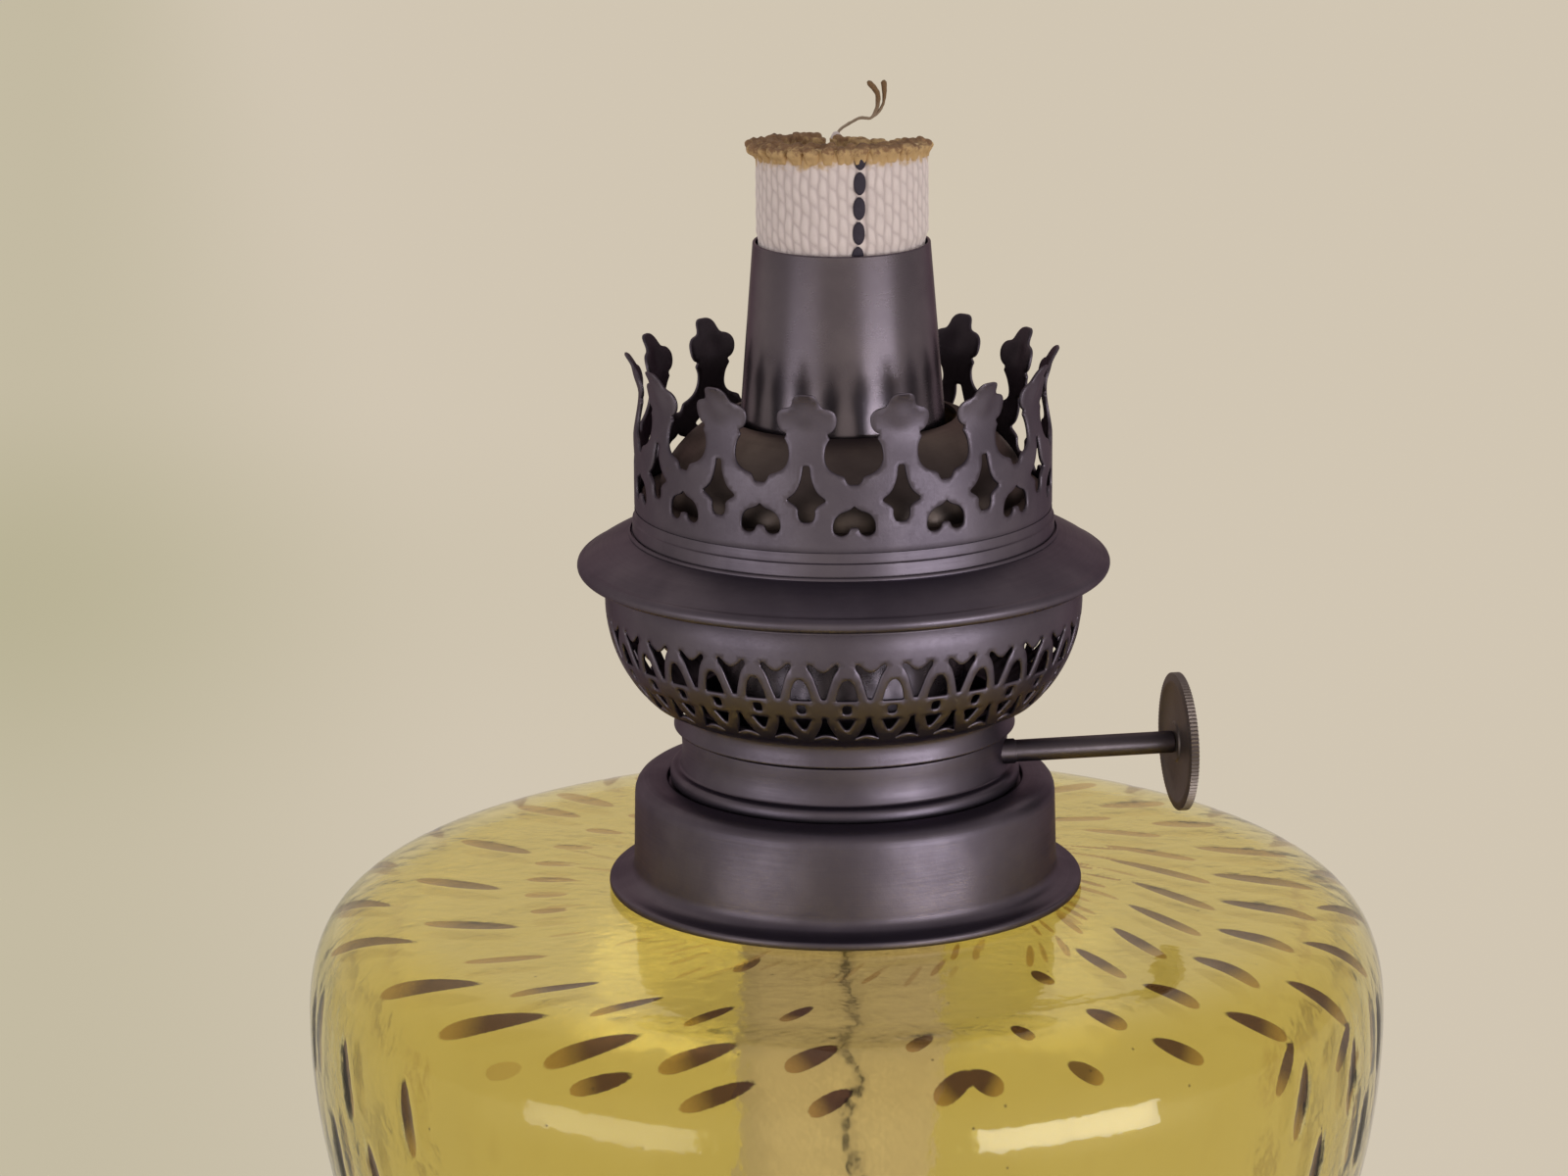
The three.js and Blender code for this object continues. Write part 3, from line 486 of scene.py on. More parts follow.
# Pieces
def piece(name, vertices, faces, material, sharp=30, weld=0.002, **values):
    """A mesh object from points in millimetres. Points nearer than weld become one, and sharp is the
    angle above which an edge isn't smoothed. Each further value is a list with one number a point."""
    mesh = bpy.data.meshes.new(name)
    mesh.from_pydata([tuple(Vector(v) * MM) for v in vertices], [], faces)
    for key, numbers in values.items():
        layer = mesh.attributes.new(key, "FLOAT", "POINT")
        layer.data.foreach_set("value", numbers)
    bm = bmesh.new()
    bm.from_mesh(mesh)
    if weld:
        bmesh.ops.remove_doubles(bm, verts=bm.verts, dist=weld * MM)
        bmesh.ops.dissolve_degenerate(bm, edges=bm.edges, dist=weld * MM / 2)
    bmesh.ops.recalc_face_normals(bm, faces=bm.faces)
    bm.to_mesh(mesh)
    bm.free()
    mesh.shade_smooth()
    if sharp:
        mesh.set_sharp_from_angle(angle=math.radians(sharp))
    mesh.materials.append(material)
    made = bpy.data.objects.new(name, mesh)
    bpy.context.scene.collection.objects.link(made)
    return made


def settle(made, body, slot, *replaced):
    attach(made, body)
    for node in replaced:
        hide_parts(node)
    return made


def loop_faces(rows, closed):
    """Quads between rings of vertex numbers. A ring of one vertex is a pole."""
    faces = []
    pairs = list(zip(rows, rows[1:]))
    if closed:
        pairs.append((rows[-1], rows[0]))
    for a, b in pairs:
        count = max(len(a), len(b))
        for i in range(count):
            j = (i + 1) % count
            corners = [a[i % len(a)], a[j % len(a)], b[j % len(b)], b[i % len(b)]]
            unique = list(dict.fromkeys(corners))
            if len(unique) > 2:
                faces.append(unique)
    return faces


def turned(name, profile, material, segments=160, wave=None, sharp=30):
    """A closed profile turned about the lamp's axis. wave(i, angle) scales the radii of point i."""
    vertices = []
    rows = []
    for i, (radius, z) in enumerate(profile):
        start = len(vertices)
        if radius < 1e-6:
            vertices.append((0, 0, z))
            rows.append([start])
            continue
        for k in range(segments):
            angle = 2 * math.pi * k / segments
            reach = radius * (wave(i, angle) if wave else 1)
            vertices.append(around(reach, angle, z))
        rows.append(list(range(start, start + segments)))
    return piece(name, vertices, loop_faces(rows, True), material, sharp)


# Foot
FOOT_SHEET = 0.8
FOOT_RIM = 3.5
FOOT_STEP = 1.8
FOOT_STEP_RISE = 1.2
WAIST_RADIUS = 20.0
WAIST_DROP = 9.0
CUP_RADIUS = 26.0
CUP_EDGE = 1.6
PEG_BORE = 15.8


def make_foot(mats):
    low, top, radius = FOOT_LOW.z, FOOT_HIGH.z, FOOT_HIGH.x
    waist_z = top - WAIST_DROP
    rim_top = low + FOOT_RIM
    cup = (CUP_RADIUS, top - CUP_EDGE)
    waist = (WAIST_RADIUS, waist_z)
    shoulder = (radius - FOOT_STEP, rim_top + FOOT_STEP_RISE)
    cup_top = (CUP_RADIUS - CUP_EDGE, top)
    corner = (CUP_RADIUS, top)
    halfway = waist_z + WAIST_DROP / 2
    rim = [shoulder, (radius - 0.2, rim_top + 0.2, 0.7), (radius, low + 0.3, 0.3), (radius - 0.3, low)]
    line = [
        (PEG_BORE, top),
        cup_top,
        *bend(cup_top, corner, corner, cup, 6),
        *bend(cup, (CUP_RADIUS, halfway), (WAIST_RADIUS, halfway), waist, 10),
        *bend(waist, (WAIST_RADIUS, shoulder[1]), (CUP_RADIUS, rim_top + WAIST_DROP / 2), shoulder, 20),
        *softened(rim, False)[1:],
    ]
    shell = turned("foot_shell_fine", [*line, *reversed(beside(line, -FOOT_SHEET))], mats["brass"])
    settle(shell, "font", "blackened_brass", "foot_shell")
    low, top, radius = PAD_LOW.z, PAD_HIGH.z, PAD_HIGH.x
    profile = softened([(0, low), (radius, low, 0.3), (radius, top, 0.5), (0, top)])
    settle(turned("base_pad_fine", profile, mats["felt"]), "font", "base_felt", "base_pad")


# Font: flat dome, round shoulder, deep bowl, with rows of leaf-shaped dimples
GLASS_WALL = 2.6
NECK_HEIGHT = 11.2
NECK_RADIUS = 24.4
NECK_BORE = 21.6
NECK_FILLET = 1.6
PEG_RADIUS = 15.5
PEG_DEPTH = 6.0
DOME_REACH = 14.8
DOME_FALL = 0.4
BELLY_HEIGHT = 61.7
SEAT_RADIUS = 26.5
FONT_SEGMENTS = 640
FONT_STEP = 0.62
INNER_SEGMENTS = 192
INNER_STEP = 2.5


def font_line(step):
    """The outside of the glass from the foot of its neck to the seat, in even steps."""
    radius = FONT_HIGH.x
    base = FONT_LOW.z + PEG_DEPTH
    dome = FONT_HIGH.z - NECK_HEIGHT
    belly = (radius, base + BELLY_HEIGHT)
    edge = (radius - DOME_REACH, dome - DOME_FALL)
    seat = (SEAT_RADIUS, base)
    shoulder_pull = (dome - belly[1]) * 0.74
    start = (NECK_RADIUS + NECK_FILLET, dome)
    rough = [
        start,
        *bend(start, (36, dome), (48, dome - DOME_FALL / 2), edge, 40),
        *bend(edge, (radius - DOME_REACH * 0.36, edge[1]), (radius, belly[1] + shoulder_pull), belly, 90),
        *bend(belly, (radius, belly[1] - BELLY_HEIGHT * 0.5), (radius * 0.78, base), seat, 160),
    ]
    return evenly(rough, step)


def evenly(line, step):
    """The same line with points at equal distances."""
    lengths = [0.0]
    for a, b in zip(line, line[1:]):
        lengths.append(lengths[-1] + (Vector(b) - Vector(a)).length)
    count = max(round(lengths[-1] / step), 1)
    points = []
    i = 0
    for k in range(count + 1):
        target = lengths[-1] * k / count
        while i < len(lengths) - 2 and lengths[i + 1] < target:
            i += 1
        share = (target - lengths[i]) / max(lengths[i + 1] - lengths[i], 1e-9)
        a, b = Vector(line[i]), Vector(line[i + 1])
        points.append(tuple(a.lerp(b, min(max(share, 0.0), 1.0))))
    return points


VIEW_TURN = math.radians(10)


def spread(first, step, painted_shade, *places):
    """Dimples at even bearings, each place being (path length, length, lean)."""
    return [(first + step * k, *place, painted_shade) for k, place in enumerate(places)]


# Dimples as (bearing from the camera's side, path length from the lamp's axis, length, lean, painted
# shade), where lean is how far the outward end turns towards +bearing, and painted shade, 0 to 1, is how
# dark the dimple is painted in place of its refraction. On the front they follow the photograph.
INNER_DIMPLES = [
    (-54.5, 53.0, 11.5, -26, 0.50), (-40.9, 55.8, 12.7, -31, 0.90), (-29.3, 56.2, 11.4, -29, 0.95),
    (-18.0, 55.9, 9.4, -26, 1.0), (-7.1, 53.4, 7.0, -29, 0.95), (-20.2, 37.0, 6.5, -9, 0.75),
    (7.6, 62.3, 5.0, -50, 0.75), (19.5, 62.0, 4.0, 23, 0.95), (30.8, 46.8, 6.1, -11, 0.85),
    (42.3, 46.8, 13.9, -17, 1.0), (54.1, 45.6, 14.9, -29, 0.90), (66.9, 44.4, 16.6, -34, 0.80),
    (80.4, 43.4, 16.9, -41, 0.75), (95.0, 41.9, 18.3, -45, 0.65), (106.1, 42.7, 14.8, -46, 0.45),
    (119.0, 43.2, 11.7, -45, 0.40),
    *spread(131, 13, 0.4, (42, 11, -36), (41, 10, -25), (40, 9, -15), (40, 8, -5)),
    *spread(183, 13, 0.4, (40, 8, 4), (40, 7, 9), (40, 7, 12)),
    (-138, 40, 6.5, 14, 0.4), (-126, 40, 6, 13, 0.4), (-114.2, 39.9, 5.9, 12, 0.35),
    (-103, 39.3, 6.5, 4, 0.4), (-92.6, 38.8, 6.9, -4, 0.50), (-83, 39.5, 6, -5, 0.4),
    (-73.3, 40.2, 5.3, -6, 0.5),
]
MIDDLE_DIMPLES = [
    (-70.8, 51.2, 13.5, -31, 0.75), (-55.5, 64.4, 16.5, -58, 0.85), (-42.6, 66.1, 16.5, -62, 0.95),
    (-28.8, 66.3, 13.6, -58, 1.0), (-16.6, 65.4, 11.0, -59, 1.0), (-4.3, 64.6, 8.0, -57, 0.95),
    (10.3, 69.3, 6.6, -53, 1.0), (13.6, 69.0, 5.2, 54, 1.0), (30.3, 61.8, 6.4, 22, 0.95),
    (41.3, 60.1, 9.1, 10, 0.95), (52.8, 59.3, 11.7, -7, 0.95), (64.9, 57.3, 12.3, -11, 0.90),
    (77.4, 55.9, 14.5, -14, 0.85), (89.8, 54.8, 14.9, -21, 0.70), (103.5, 54.7, 13.3, -28, 0.50),
    (118.7, 52.8, 9.3, -32, 0.40),
    *spread(131, 13, 0.4, (53, 10, -30), (53, 11, -24), (53, 12, -18), (53, 12, -12)),
    *spread(183, 13, 0.4, (53, 12, -6), (53, 12, -2), (53, 12, 1)),
    (-138, 53, 11.6, 5, 0.4), (-130.1, 52.7, 11.6, 4, 0.40), (-110.4, 49.9, 12.6, -15, 0.60),
    (-90.9, 51.0, 13.4, -24, 0.70),
]
OUTER_DIMPLES = [
    (-73.5, 64.5, 17.5, -51, 0.75), (-38, 71.5, 6, -70, 0.25), (-26.3, 70.6, 9.3, -68, 0.90),
    (-13.7, 70.5, 10.7, -66, 1.0), (-2.2, 70.7, 6.6, -61, 0.95), (24.5, 69.4, 5.4, 53, 0.75),
    (36.1, 69.1, 8.1, 54, 0.85), (48.1, 69.2, 10.9, 54, 0.90), (50.3, 75.6, 8.2, -39, 0.85),
    (60.5, 70.1, 13.0, 43, 0.90), (62.4, 77.2, 8.0, -49, 0.95), (71.2, 67.5, 13.4, 40, 0.85),
    (84.3, 65.9, 12.4, 47, 0.80), (98, 66, 12, 42, 0.7),
    *spread(112, 14, 0.6, *((66, 12, lean) for lean in (36, 28, 18, 8, -4, -14, -24, -32))),
    (-136, 66, 12, -38, 0.6), (-120, 66, 13, -42, 0.6), (-104, 65, 14, -45, 0.6), (-88, 64.5, 16, -48, 0.7),
]
# Each row of dimples: the list, half of a dimple's width, and its depth
DIMPLE_ROWS = ((INNER_DIMPLES, 1.15, 0.04), (MIDDLE_DIMPLES, 1.6, 0.05), (OUTER_DIMPLES, 1.25, 0.06))
WALL_ROWS = (81.0, 92.0, 104.0, 116.0, 128.0, 140.0)
WALL_ROUND = 28
WALL_LEAN = -18
WALL_STRAY = 1.5
WALL_FRONT, WALL_FRONT_FADE = 36, 14
WALL_BACK, WALL_BACK_FADE, WALL_BACK_LOSS = 100, 25, 0.93
STREAKS_ROUND = 90


def dimple_list():
    """Each dimple as (bearing, path length, length, half width, lean, depth, painted shade)."""
    rng = random.Random(11)
    dimples = []
    for row, half_width, deep in DIMPLE_ROWS:
        for bearing, reach, length, lean, painted_shade in row:
            dimples.append((bearing, reach, length, half_width, lean, deep, painted_shade))
    for j, reach in enumerate(WALL_ROWS):
        for k in range(WALL_ROUND):
            bearing = 360 / WALL_ROUND * (k + 0.5 * (j % 2)) - 180 + rng.uniform(-WALL_STRAY, WALL_STRAY)
            # Towards the sides, as seen from the camera, the wall dimples grow longer and deeper and get
            # more painted shade; at the back it fades
            side = smooth_step((abs(bearing) - WALL_FRONT) / WALL_FRONT_FADE)
            length, half_width = mix(5, 11, side), mix(0.9, 1.25, side)
            side *= 1 - WALL_BACK_LOSS * smooth_step((abs(bearing) - WALL_BACK) / WALL_BACK_FADE)
            deep, painted_shade = mix(0.05, 0.30, side), mix(0.02, 0.85, side)
            place = reach + rng.uniform(-WALL_STRAY, WALL_STRAY)
            lean = WALL_LEAN * math.copysign(0.6, bearing) + rng.uniform(-6, 6)
            dimples.append((bearing, place, length, half_width, lean, deep, painted_shade))
    # Faint streaks round the neck, their painted shade strongest at a bearing of 80 degrees
    for k in range(STREAKS_ROUND):
        bearing = 360 * k / STREAKS_ROUND + rng.uniform(-1.2, 1.2)
        reach = 35.0 + 3 * math.cos(math.radians(bearing + 35)) + rng.uniform(-4, 4)
        painted_shade = rng.uniform(0.05, 0.30) + 0.25 * max(math.cos(math.radians(bearing - 80)), 0)
        lean = -25 - 15 * math.sin(math.radians(bearing)) + rng.uniform(-5, 5)
        dimples.append((bearing, reach, rng.uniform(5, 10), rng.uniform(0.35, 0.6), lean, 0.02, painted_shade))
    return dimples


def dimple_fields(line, reaches):
    """Values for each row and segment of the glass: the depth of the dimples, the shape of the leaf
    (above 0 inside it, 1 on its rib), its painted shade and how far along it the point lies (-1 to 1)."""
    count = len(line)

    def field(start):
        return [[start] * FONT_SEGMENTS for _ in range(count)]

    depth, shape, shade, run = field(0.0), field(-1.0), field(0.0), field(0.0)
    for bearing, reach, length, half_width, lean, deep, painted_shade in dimple_list():
        centre = math.radians(bearing) - VIEW_TURN
        lean = math.radians(lean)
        span = length / 2 + 2.0
        for i in range(count):
            ahead = reaches[i] - reach
            if abs(ahead) > span:
                continue
            radius = line[i][0]
            sweep = math.radians(360 / FONT_SEGMENTS) * radius
            first = math.floor((centre * radius - span) / sweep)
            for m in range(first, first + math.ceil(2 * span / sweep) + 2):
                aside = m * sweep - centre * radius
                u = (ahead * math.cos(lean) + aside * math.sin(lean)) / (length / 2)
                v = aside * math.cos(lean) - ahead * math.sin(lean)
                if abs(u) > 1.15:
                    continue
                taper = max(1 - abs(u) ** (3.2 if u > 0 else 1.7), -0.3)
                leaf = taper - (v / half_width) ** 2
                k = m % FONT_SEGMENTS
                if leaf > shape[i][k]:
                    shape[i][k] = max(leaf, -1.0)
                    run[i][k] = max(min(u, 1.0), -1.0)
                    shade[i][k] = painted_shade
                hollow = max(leaf + 0.35, 0.0) / 1.35
                depth[i][k] = max(depth[i][k], deep * hollow * hollow * (3 - 2 * hollow))
    return depth, shape, shade, run


def make_font(mats):
    outer = font_line(FONT_STEP)
    reaches = []
    travelled = outer[0][0]
    for i, point in enumerate(outer):
        if i:
            travelled += (Vector(point) - Vector(outer[i - 1])).length
        reaches.append(travelled)
    depth, shape, shade, run = dimple_fields(outer, reaches)
    normals = [(Vector(b) - Vector(a)).normalized() for a, b in zip(beside(outer, -1), outer)]
    dome = FONT_HIGH.z - NECK_HEIGHT
    base = FONT_LOW.z + PEG_DEPTH
    neck = softened(
        [
            (NECK_BORE, dome - GLASS_WALL),
            (NECK_BORE, FONT_HIGH.z, 0.8),
            (NECK_RADIUS, FONT_HIGH.z, 0.8),
            (NECK_RADIUS, dome, NECK_FILLET),
        ],
        False,
    )
    peg = softened([(PEG_RADIUS, base, 0.6), (PEG_RADIUS, FONT_LOW.z, 0.8), (0, FONT_LOW.z)], False)
    inner = [neck[0], *beside(font_line(INNER_STEP), -GLASS_WALL)[1:], (0, base + GLASS_WALL)]
    vertices = []
    values = {"dimple": [], "dimple_shade": [], "dimple_run": [], "inside": []}

    def ring(points, leaves=None, shades=None, runs=None, inside=0.0):
        start = len(vertices)
        vertices.extend(points)
        values["dimple"] += leaves or [-1.0] * len(points)
        values["dimple_shade"] += shades or [0.0] * len(points)
        values["dimple_run"] += runs or [0.0] * len(points)
        values["inside"] += [inside] * len(points)
        return list(range(start, start + len(points)))

    def plain_ring(radius, z, segments, inside=0.0):
        if radius < 1e-6:
            return ring([(0, 0, z)], inside=inside)
        points = [around(radius, 2 * math.pi * k / segments, z) for k in range(segments)]
        return ring(points, inside=inside)

    rows = [plain_ring(*point, FONT_SEGMENTS) for point in neck]
    for i, (radius, z) in enumerate(outer):
        points = []
        for k, sunk in enumerate(depth[i]):
            angle = 2 * math.pi * k / FONT_SEGMENTS
            points.append(around(radius - normals[i].x * sunk, angle, z - normals[i].y * sunk))
        rows.append(ring(points, shape[i], shade[i], run[i]))
    rows += [plain_ring(*point, FONT_SEGMENTS) for point in peg]
    inner_rows = [plain_ring(*point, INNER_SEGMENTS, 1.0) for point in inner]
    faces = loop_faces(rows, False) + loop_faces(inner_rows, False) + stitch(rows[0], inner_rows[0])
    made = piece("font_glass_fine", vertices, faces, mats["glass"], 0, 0, **values)
    settle(made, "font", "amber_glass", "font_glass")


def stitch(many, few):
    """Triangles between two rings that lie on each other but have different counts."""
    faces = []
    ratio = len(many) / len(few)
    for i, vertex in enumerate(many):
        after = many[(i + 1) % len(many)]
        near = few[int((i + 0.5) / ratio) % len(few)]
        faces.append((vertex, after, near))
        following = few[int((i + 1.5) / ratio) % len(few)]
        if following != near:
            faces.append((after, following, near))
    return faces


# Collar and burner
COLLAR_RADIUS = 27.7
COLLAR_SHOULDER = 1.3
COLLAR_LIP_HEIGHT = 2.9
COLLAR_LIP_WIDTH = 2.9
COLLAR_WEB = 0.7
COLLAR_BASE = 110.6
THREAD_LENGTH = 8.0
SLEEVE_BORE = 20.6
SLEEVE_RADIUS = 21.3
COLLAR_BORE = 27.0
RECESS = 0.9
BAND_RADIUS = 21.4
BEAD_RADIUS = 22.85
BEAD_HEIGHT = 2.2
BEAD_GAP = 0.3
BASKET_GAP = 0.3
LEDGE_THICKNESS = 1.1
SPIGOT_RADIUS = 20.6
SPIGOT_BORE = 19.8
THREAD_RADIUS = 20.3
THREAD_BORE = 18.6


def make_collar(mats):
    base, top = COLLAR_BASE, COLLAR_HIGH.z
    seat = top - RECESS
    lip = COLLAR_HIGH.x
    wall_foot = (COLLAR_RADIUS, base + COLLAR_LIP_HEIGHT + 0.5)
    lip_top = (lip - 0.5, base + 1.15)
    flare = bend(wall_foot, (COLLAR_RADIUS, base + 1.6), (COLLAR_RADIUS + 1.2, base + 1.3), lip_top, 12)
    profile = softened(
        [
            (SLEEVE_BORE, seat - THREAD_LENGTH, 0.2),
            (SLEEVE_BORE, seat, 0.3),
            (BEAD_RADIUS + BEAD_GAP, seat, 0.2),
            (BEAD_RADIUS + BEAD_GAP, top, 0.35),
            (COLLAR_RADIUS - 0.25, top, COLLAR_SHOULDER + 0.9),
            wall_foot,
            *flare,
            (lip, base + 1.0, 0.45),
            (lip, base, 0.45),
            (lip - COLLAR_LIP_WIDTH, base, 0.3),
            (COLLAR_BORE, base + COLLAR_LIP_HEIGHT, 0.4),
            (COLLAR_BORE, seat - COLLAR_WEB, 0.4),
            (SLEEVE_RADIUS, seat - COLLAR_WEB, 0.2),
            (SLEEVE_RADIUS, seat - THREAD_LENGTH, 0.2),
        ],
        steps=6,
    )
    made = turned("font_collar_fine", profile, mats["brass"], 192)
    settle(made, "font", "blackened_brass", "font_collar")


def make_burner(mats):
    base = BODY_LOW.z + THREAD_LENGTH
    band_top = BASKET_LOW.z - BASKET_GAP
    ledge = base - LEDGE_THICKNESS
    profile = softened(
        [
            (THREAD_BORE, BODY_LOW.z, 0.2),
            (THREAD_RADIUS, BODY_LOW.z, 0.2),
            (THREAD_RADIUS, base, 0.1),
            (BEAD_RADIUS, base, 1.0),
            (BEAD_RADIUS, base + BEAD_HEIGHT, 1.0),
            (BAND_RADIUS + 0.1, base + 2.25, 0.35),
            (BAND_RADIUS - 0.25, base + 4.2, 1.5),
            (BAND_RADIUS, band_top, 0.25),
            (SPIGOT_RADIUS, band_top, 0.1),
            (SPIGOT_RADIUS, BODY_HIGH.z, 0.2),
            (SPIGOT_BORE, BODY_HIGH.z, 0.2),
            (SPIGOT_BORE, ledge),
            (THREAD_BORE, ledge),
        ],
        steps=6,
    )
    made = turned("burner_band_fine", profile, mats["brass"], 192)
    settle(made, "burner", "blackened_brass", "burner_body")


TUBE_WALL = 0.4
TUBE_TOP_RADIUS = 11.4
TUBE_FOOT_RADIUS = 17.0


def make_tube(mats):
    low, high = TUBE_LOW.z, TUBE_HIGH.z
    profile = softened(
        [
            (TUBE_FOOT_RADIUS - TUBE_WALL, low),
            (TUBE_FOOT_RADIUS, low, 0.3),
            (TUBE_TOP_RADIUS, high, 0.16),
            (TUBE_TOP_RADIUS - TUBE_WALL, high, 0.16),
        ]
    )
    made = turned("outer_wick_tube_fine", profile, mats["tube"], 160)
    settle(made, "burner", "blackened_brass", "outer_wick_tube")


# Gallery
BASKET_RADIUS = 31.0
BELLY_REACH = 14.6
BELLY_DEPTH = 16.6
BASKET_CELLS = 32
LATTICE_DEPTH = 13.1
BASKET_BAND = 1.4
BASKET_LIP_RISE = 1.6
LATTICE_CORNER = 0.6
LATTICE_STEP = 0.7
LATTICE_SPACING = 0.75
SKIRT_RADIUS = 21.4
SKIRT_LINE = (
    (2.05, 3.32), (1.10, 3.22), (0.80, 2.92), (0.68, 2.35), (0.66, 1.50), (0.78, 0.70),
    (0.86, 0.32), (0.86, 0.12), (0.75, 0.0),
)
LIP_LINE = ((0.0, 0.62), (-0.06, 0.52), (-0.06, 0.42), (0.0, 0.32), (0.0, 0.0))
LATTICE_TURN = math.radians(1.25)
CROWN_TURN = math.radians(5.2)
CROWN_RADIUS = 27.0
CROWN_CELLS = 14
CROWN_WALL = 9.3
CROWN_WAIST = 0.85
CROWN_FLARE = 1.15
FLANGE_RIM = 1.0

LATTICE_ANGLE = math.asin(LATTICE_DEPTH / BELLY_DEPTH)
BELLY_Z = BASKET_HIGH.z - BASKET_LIP_RISE - BASKET_BAND


def belly(angle, depth=0.0):
    reach = BELLY_REACH - depth
    drop = BELLY_DEPTH - depth
    return (BASKET_RADIUS - BELLY_REACH + reach * math.cos(angle), BELLY_Z - drop * math.sin(angle))


def inside_line(point, line):
    """True if a point lies inside a closed line."""
    x, y = point
    odd = False
    for (x1, y1), (x2, y2) in zip(line, [*line[1:], line[0]]):
        if (y1 > y) != (y2 > y) and x < (x2 - x1) * (y - y1) / (y2 - y1) + x1:
            odd = not odd
    return odd


def line_distance(point, line):
    here = Vector(point)
    best = 1e9
    for a, b in zip(line, [*line[1:], line[0]]):
        a, b = Vector(a), Vector(b)
        side = b - a
        t = min(max((here - a).dot(side) / max(side.length_squared, 1e-12), 0), 1)
        best = min(best, (here - a - side * t).length)
    return best


def pulled(line, distance, fixed):
    """The closed line moved sideways by a distance, to the left of its direction, where a point that
    is fixed slides along the cell's side instead."""
    count = len(line)
    moved = []
    for i, here in enumerate(line):
        before, after = Vector(line[i - 1]), Vector(line[(i + 1) % count])
        hold = fixed(here)
        if hold == "corner":
            moved.append(here)
            continue
        ahead = (after - Vector(here)).normalized()
        behind = (Vector(here) - before).normalized()
        if hold:
            open_side = ahead if abs(ahead.x) > abs(behind.x) else behind
            lift = distance / max(abs(open_side.x), 0.4)
            moved.append((here[0], here[1] + math.copysign(lift, open_side.x)))
            continue
        mean = (ahead + behind).normalized()
        stretch = distance / max(mean.dot(ahead), 0.7)
        moved.append((here[0] - mean.y * stretch, here[1] + mean.x * stretch))
    return moved


def pierced_cell(outline, holes, width, height, spacing, open_ends):
    """One cell of pierced sheet in flat millimetres: the face's points and triangles, and for each
    rim its points on the face and its true line. The outline runs counter-clockwise."""
    half = width / 2

    def on_side(p):
        return abs(abs(p[0]) - half) < 1e-6

    def on_end(p):
        return not open_ends and (abs(p[1]) < 1e-6 or abs(p[1] - height) < 1e-6)

    def hold(p):
        if on_side(p) and on_end(p):
            return "corner"
        return "side" if on_side(p) else None

    rims = []
    face = []
    count = len(outline)
    joined = []
    for i in range(count):
        a, b = outline[i], outline[(i + 1) % count]
        same_side = on_side(a) and on_side(b) and a[0] * b[0] > 0
        same_end = on_end(a) and on_end(b) and a[1] == b[1]
        joined.append(same_side or same_end)
    moved = pulled(outline, EDGE_ROUND, hold)
    for i in range(count):
        if joined[i] and joined[i - 1]:
            moved[i] = outline[i]
        if on_end(outline[i]) and not on_side(outline[i]):
            moved[i] = outline[i]
    face.append(moved)
    for i in range(count):
        if not joined[i]:
            j = (i + 1) % count
            rims.append((moved[i], moved[j], outline[i], outline[j]))
    for hole in holes:
        grown = pulled(list(reversed(hole)), EDGE_ROUND, lambda p: None)
        true = list(reversed(hole))
        face.append(grown)
        size = len(true)
        for i in range(size):
            j = (i + 1) % size
            rims.append((grown[i], grown[j], true[i], true[j]))
    points = [Vector(p) for line in face for p in line]
    edges = []
    start = 0
    for line in face:
        edges += [(start + i, start + (i + 1) % len(line)) for i in range(len(line))]
        start += len(line)
    across = max(round(width / spacing), 2)
    up = max(round(height / spacing), 2)
    for i in range(across + 1):
        for j in range(up + 1):
            p = (-half + width * i / across, height * j / up)
            if abs(p[0]) > half - spacing * 0.3 or not inside_line(p, face[0]):
                continue
            if any(inside_line(p, line) for line in face[1:]):
                continue
            if min(line_distance(p, line) for line in face) > spacing * 0.35:
                points.append(Vector(p))
    found = delaunay_2d_cdt(points, edges, [], 0, 1e-7)
    flat = [tuple(p) for p in found[0]]
    triangles = []
    for corners in found[2]:
        middle = (sum(flat[c][0] for c in corners) / 3, sum(flat[c][1] for c in corners) / 3)
        if inside_line(middle, face[0]) and not any(inside_line(middle, line) for line in face[1:]):
            triangles.append(tuple(corners))
    return flat, triangles, rims


def pierced_sheet(cells, cell, width, place, turn):
    """The cell repeated round the lamp. place(across, up, depth) gives (radius, height)."""
    flat, triangles, rims = cell
    vertices, faces, worn = [], [], []

    def add(point, depth, k, edge):
        radius, z = place(*point, depth)
        vertices.append(around(radius, 2 * math.pi * (k + point[0] / width) / cells + turn, z))
        worn.append(edge)
        return len(vertices) - 1

    for k in range(cells):
        front = [add(p, 0.0, k, 0.0) for p in flat]
        back = [add(p, SHEET, k, -1.0) for p in flat]
        for a, b, c in triangles:
            faces.append((front[a], front[b], front[c]))
            faces.append((back[c], back[b], back[a]))
        for face_a, face_b, rim_a, rim_b in rims:
            line_a, line_b = (
                [
                    add(on_face, 0, k, 0.0),
                    add(rim, EDGE_ROUND, k, 0.25),
                    add(rim, SHEET - EDGE_ROUND, k, -0.3),
                    add(on_face, SHEET, k, -1.0),
                ]
                for on_face, rim in ((face_a, rim_a), (face_b, rim_b))
            )
            for i in range(3):
                faces.append((line_a[i], line_a[i + 1], line_b[i + 1], line_b[i]))
    return vertices, faces, worn


def mirrored(half):
    """A whole outline from its right half, listed upwards. Points on the middle line stay single."""
    left = [(-p[0], *p[1:]) for p in reversed(half) if p[0] > 0]
    return [*half, *left]


def scaled(points, width, height, reach):
    """Shares of a cell turned into millimetres. A third value scales the reach of the corner's curve,
    and 0 keeps the corner sharp."""
    made = []
    for x, y, *share in points:
        corner = reach * share[0] if share else reach
        made.append((x * width, y * height, corner) if corner else (x * width, y * height))
    return made


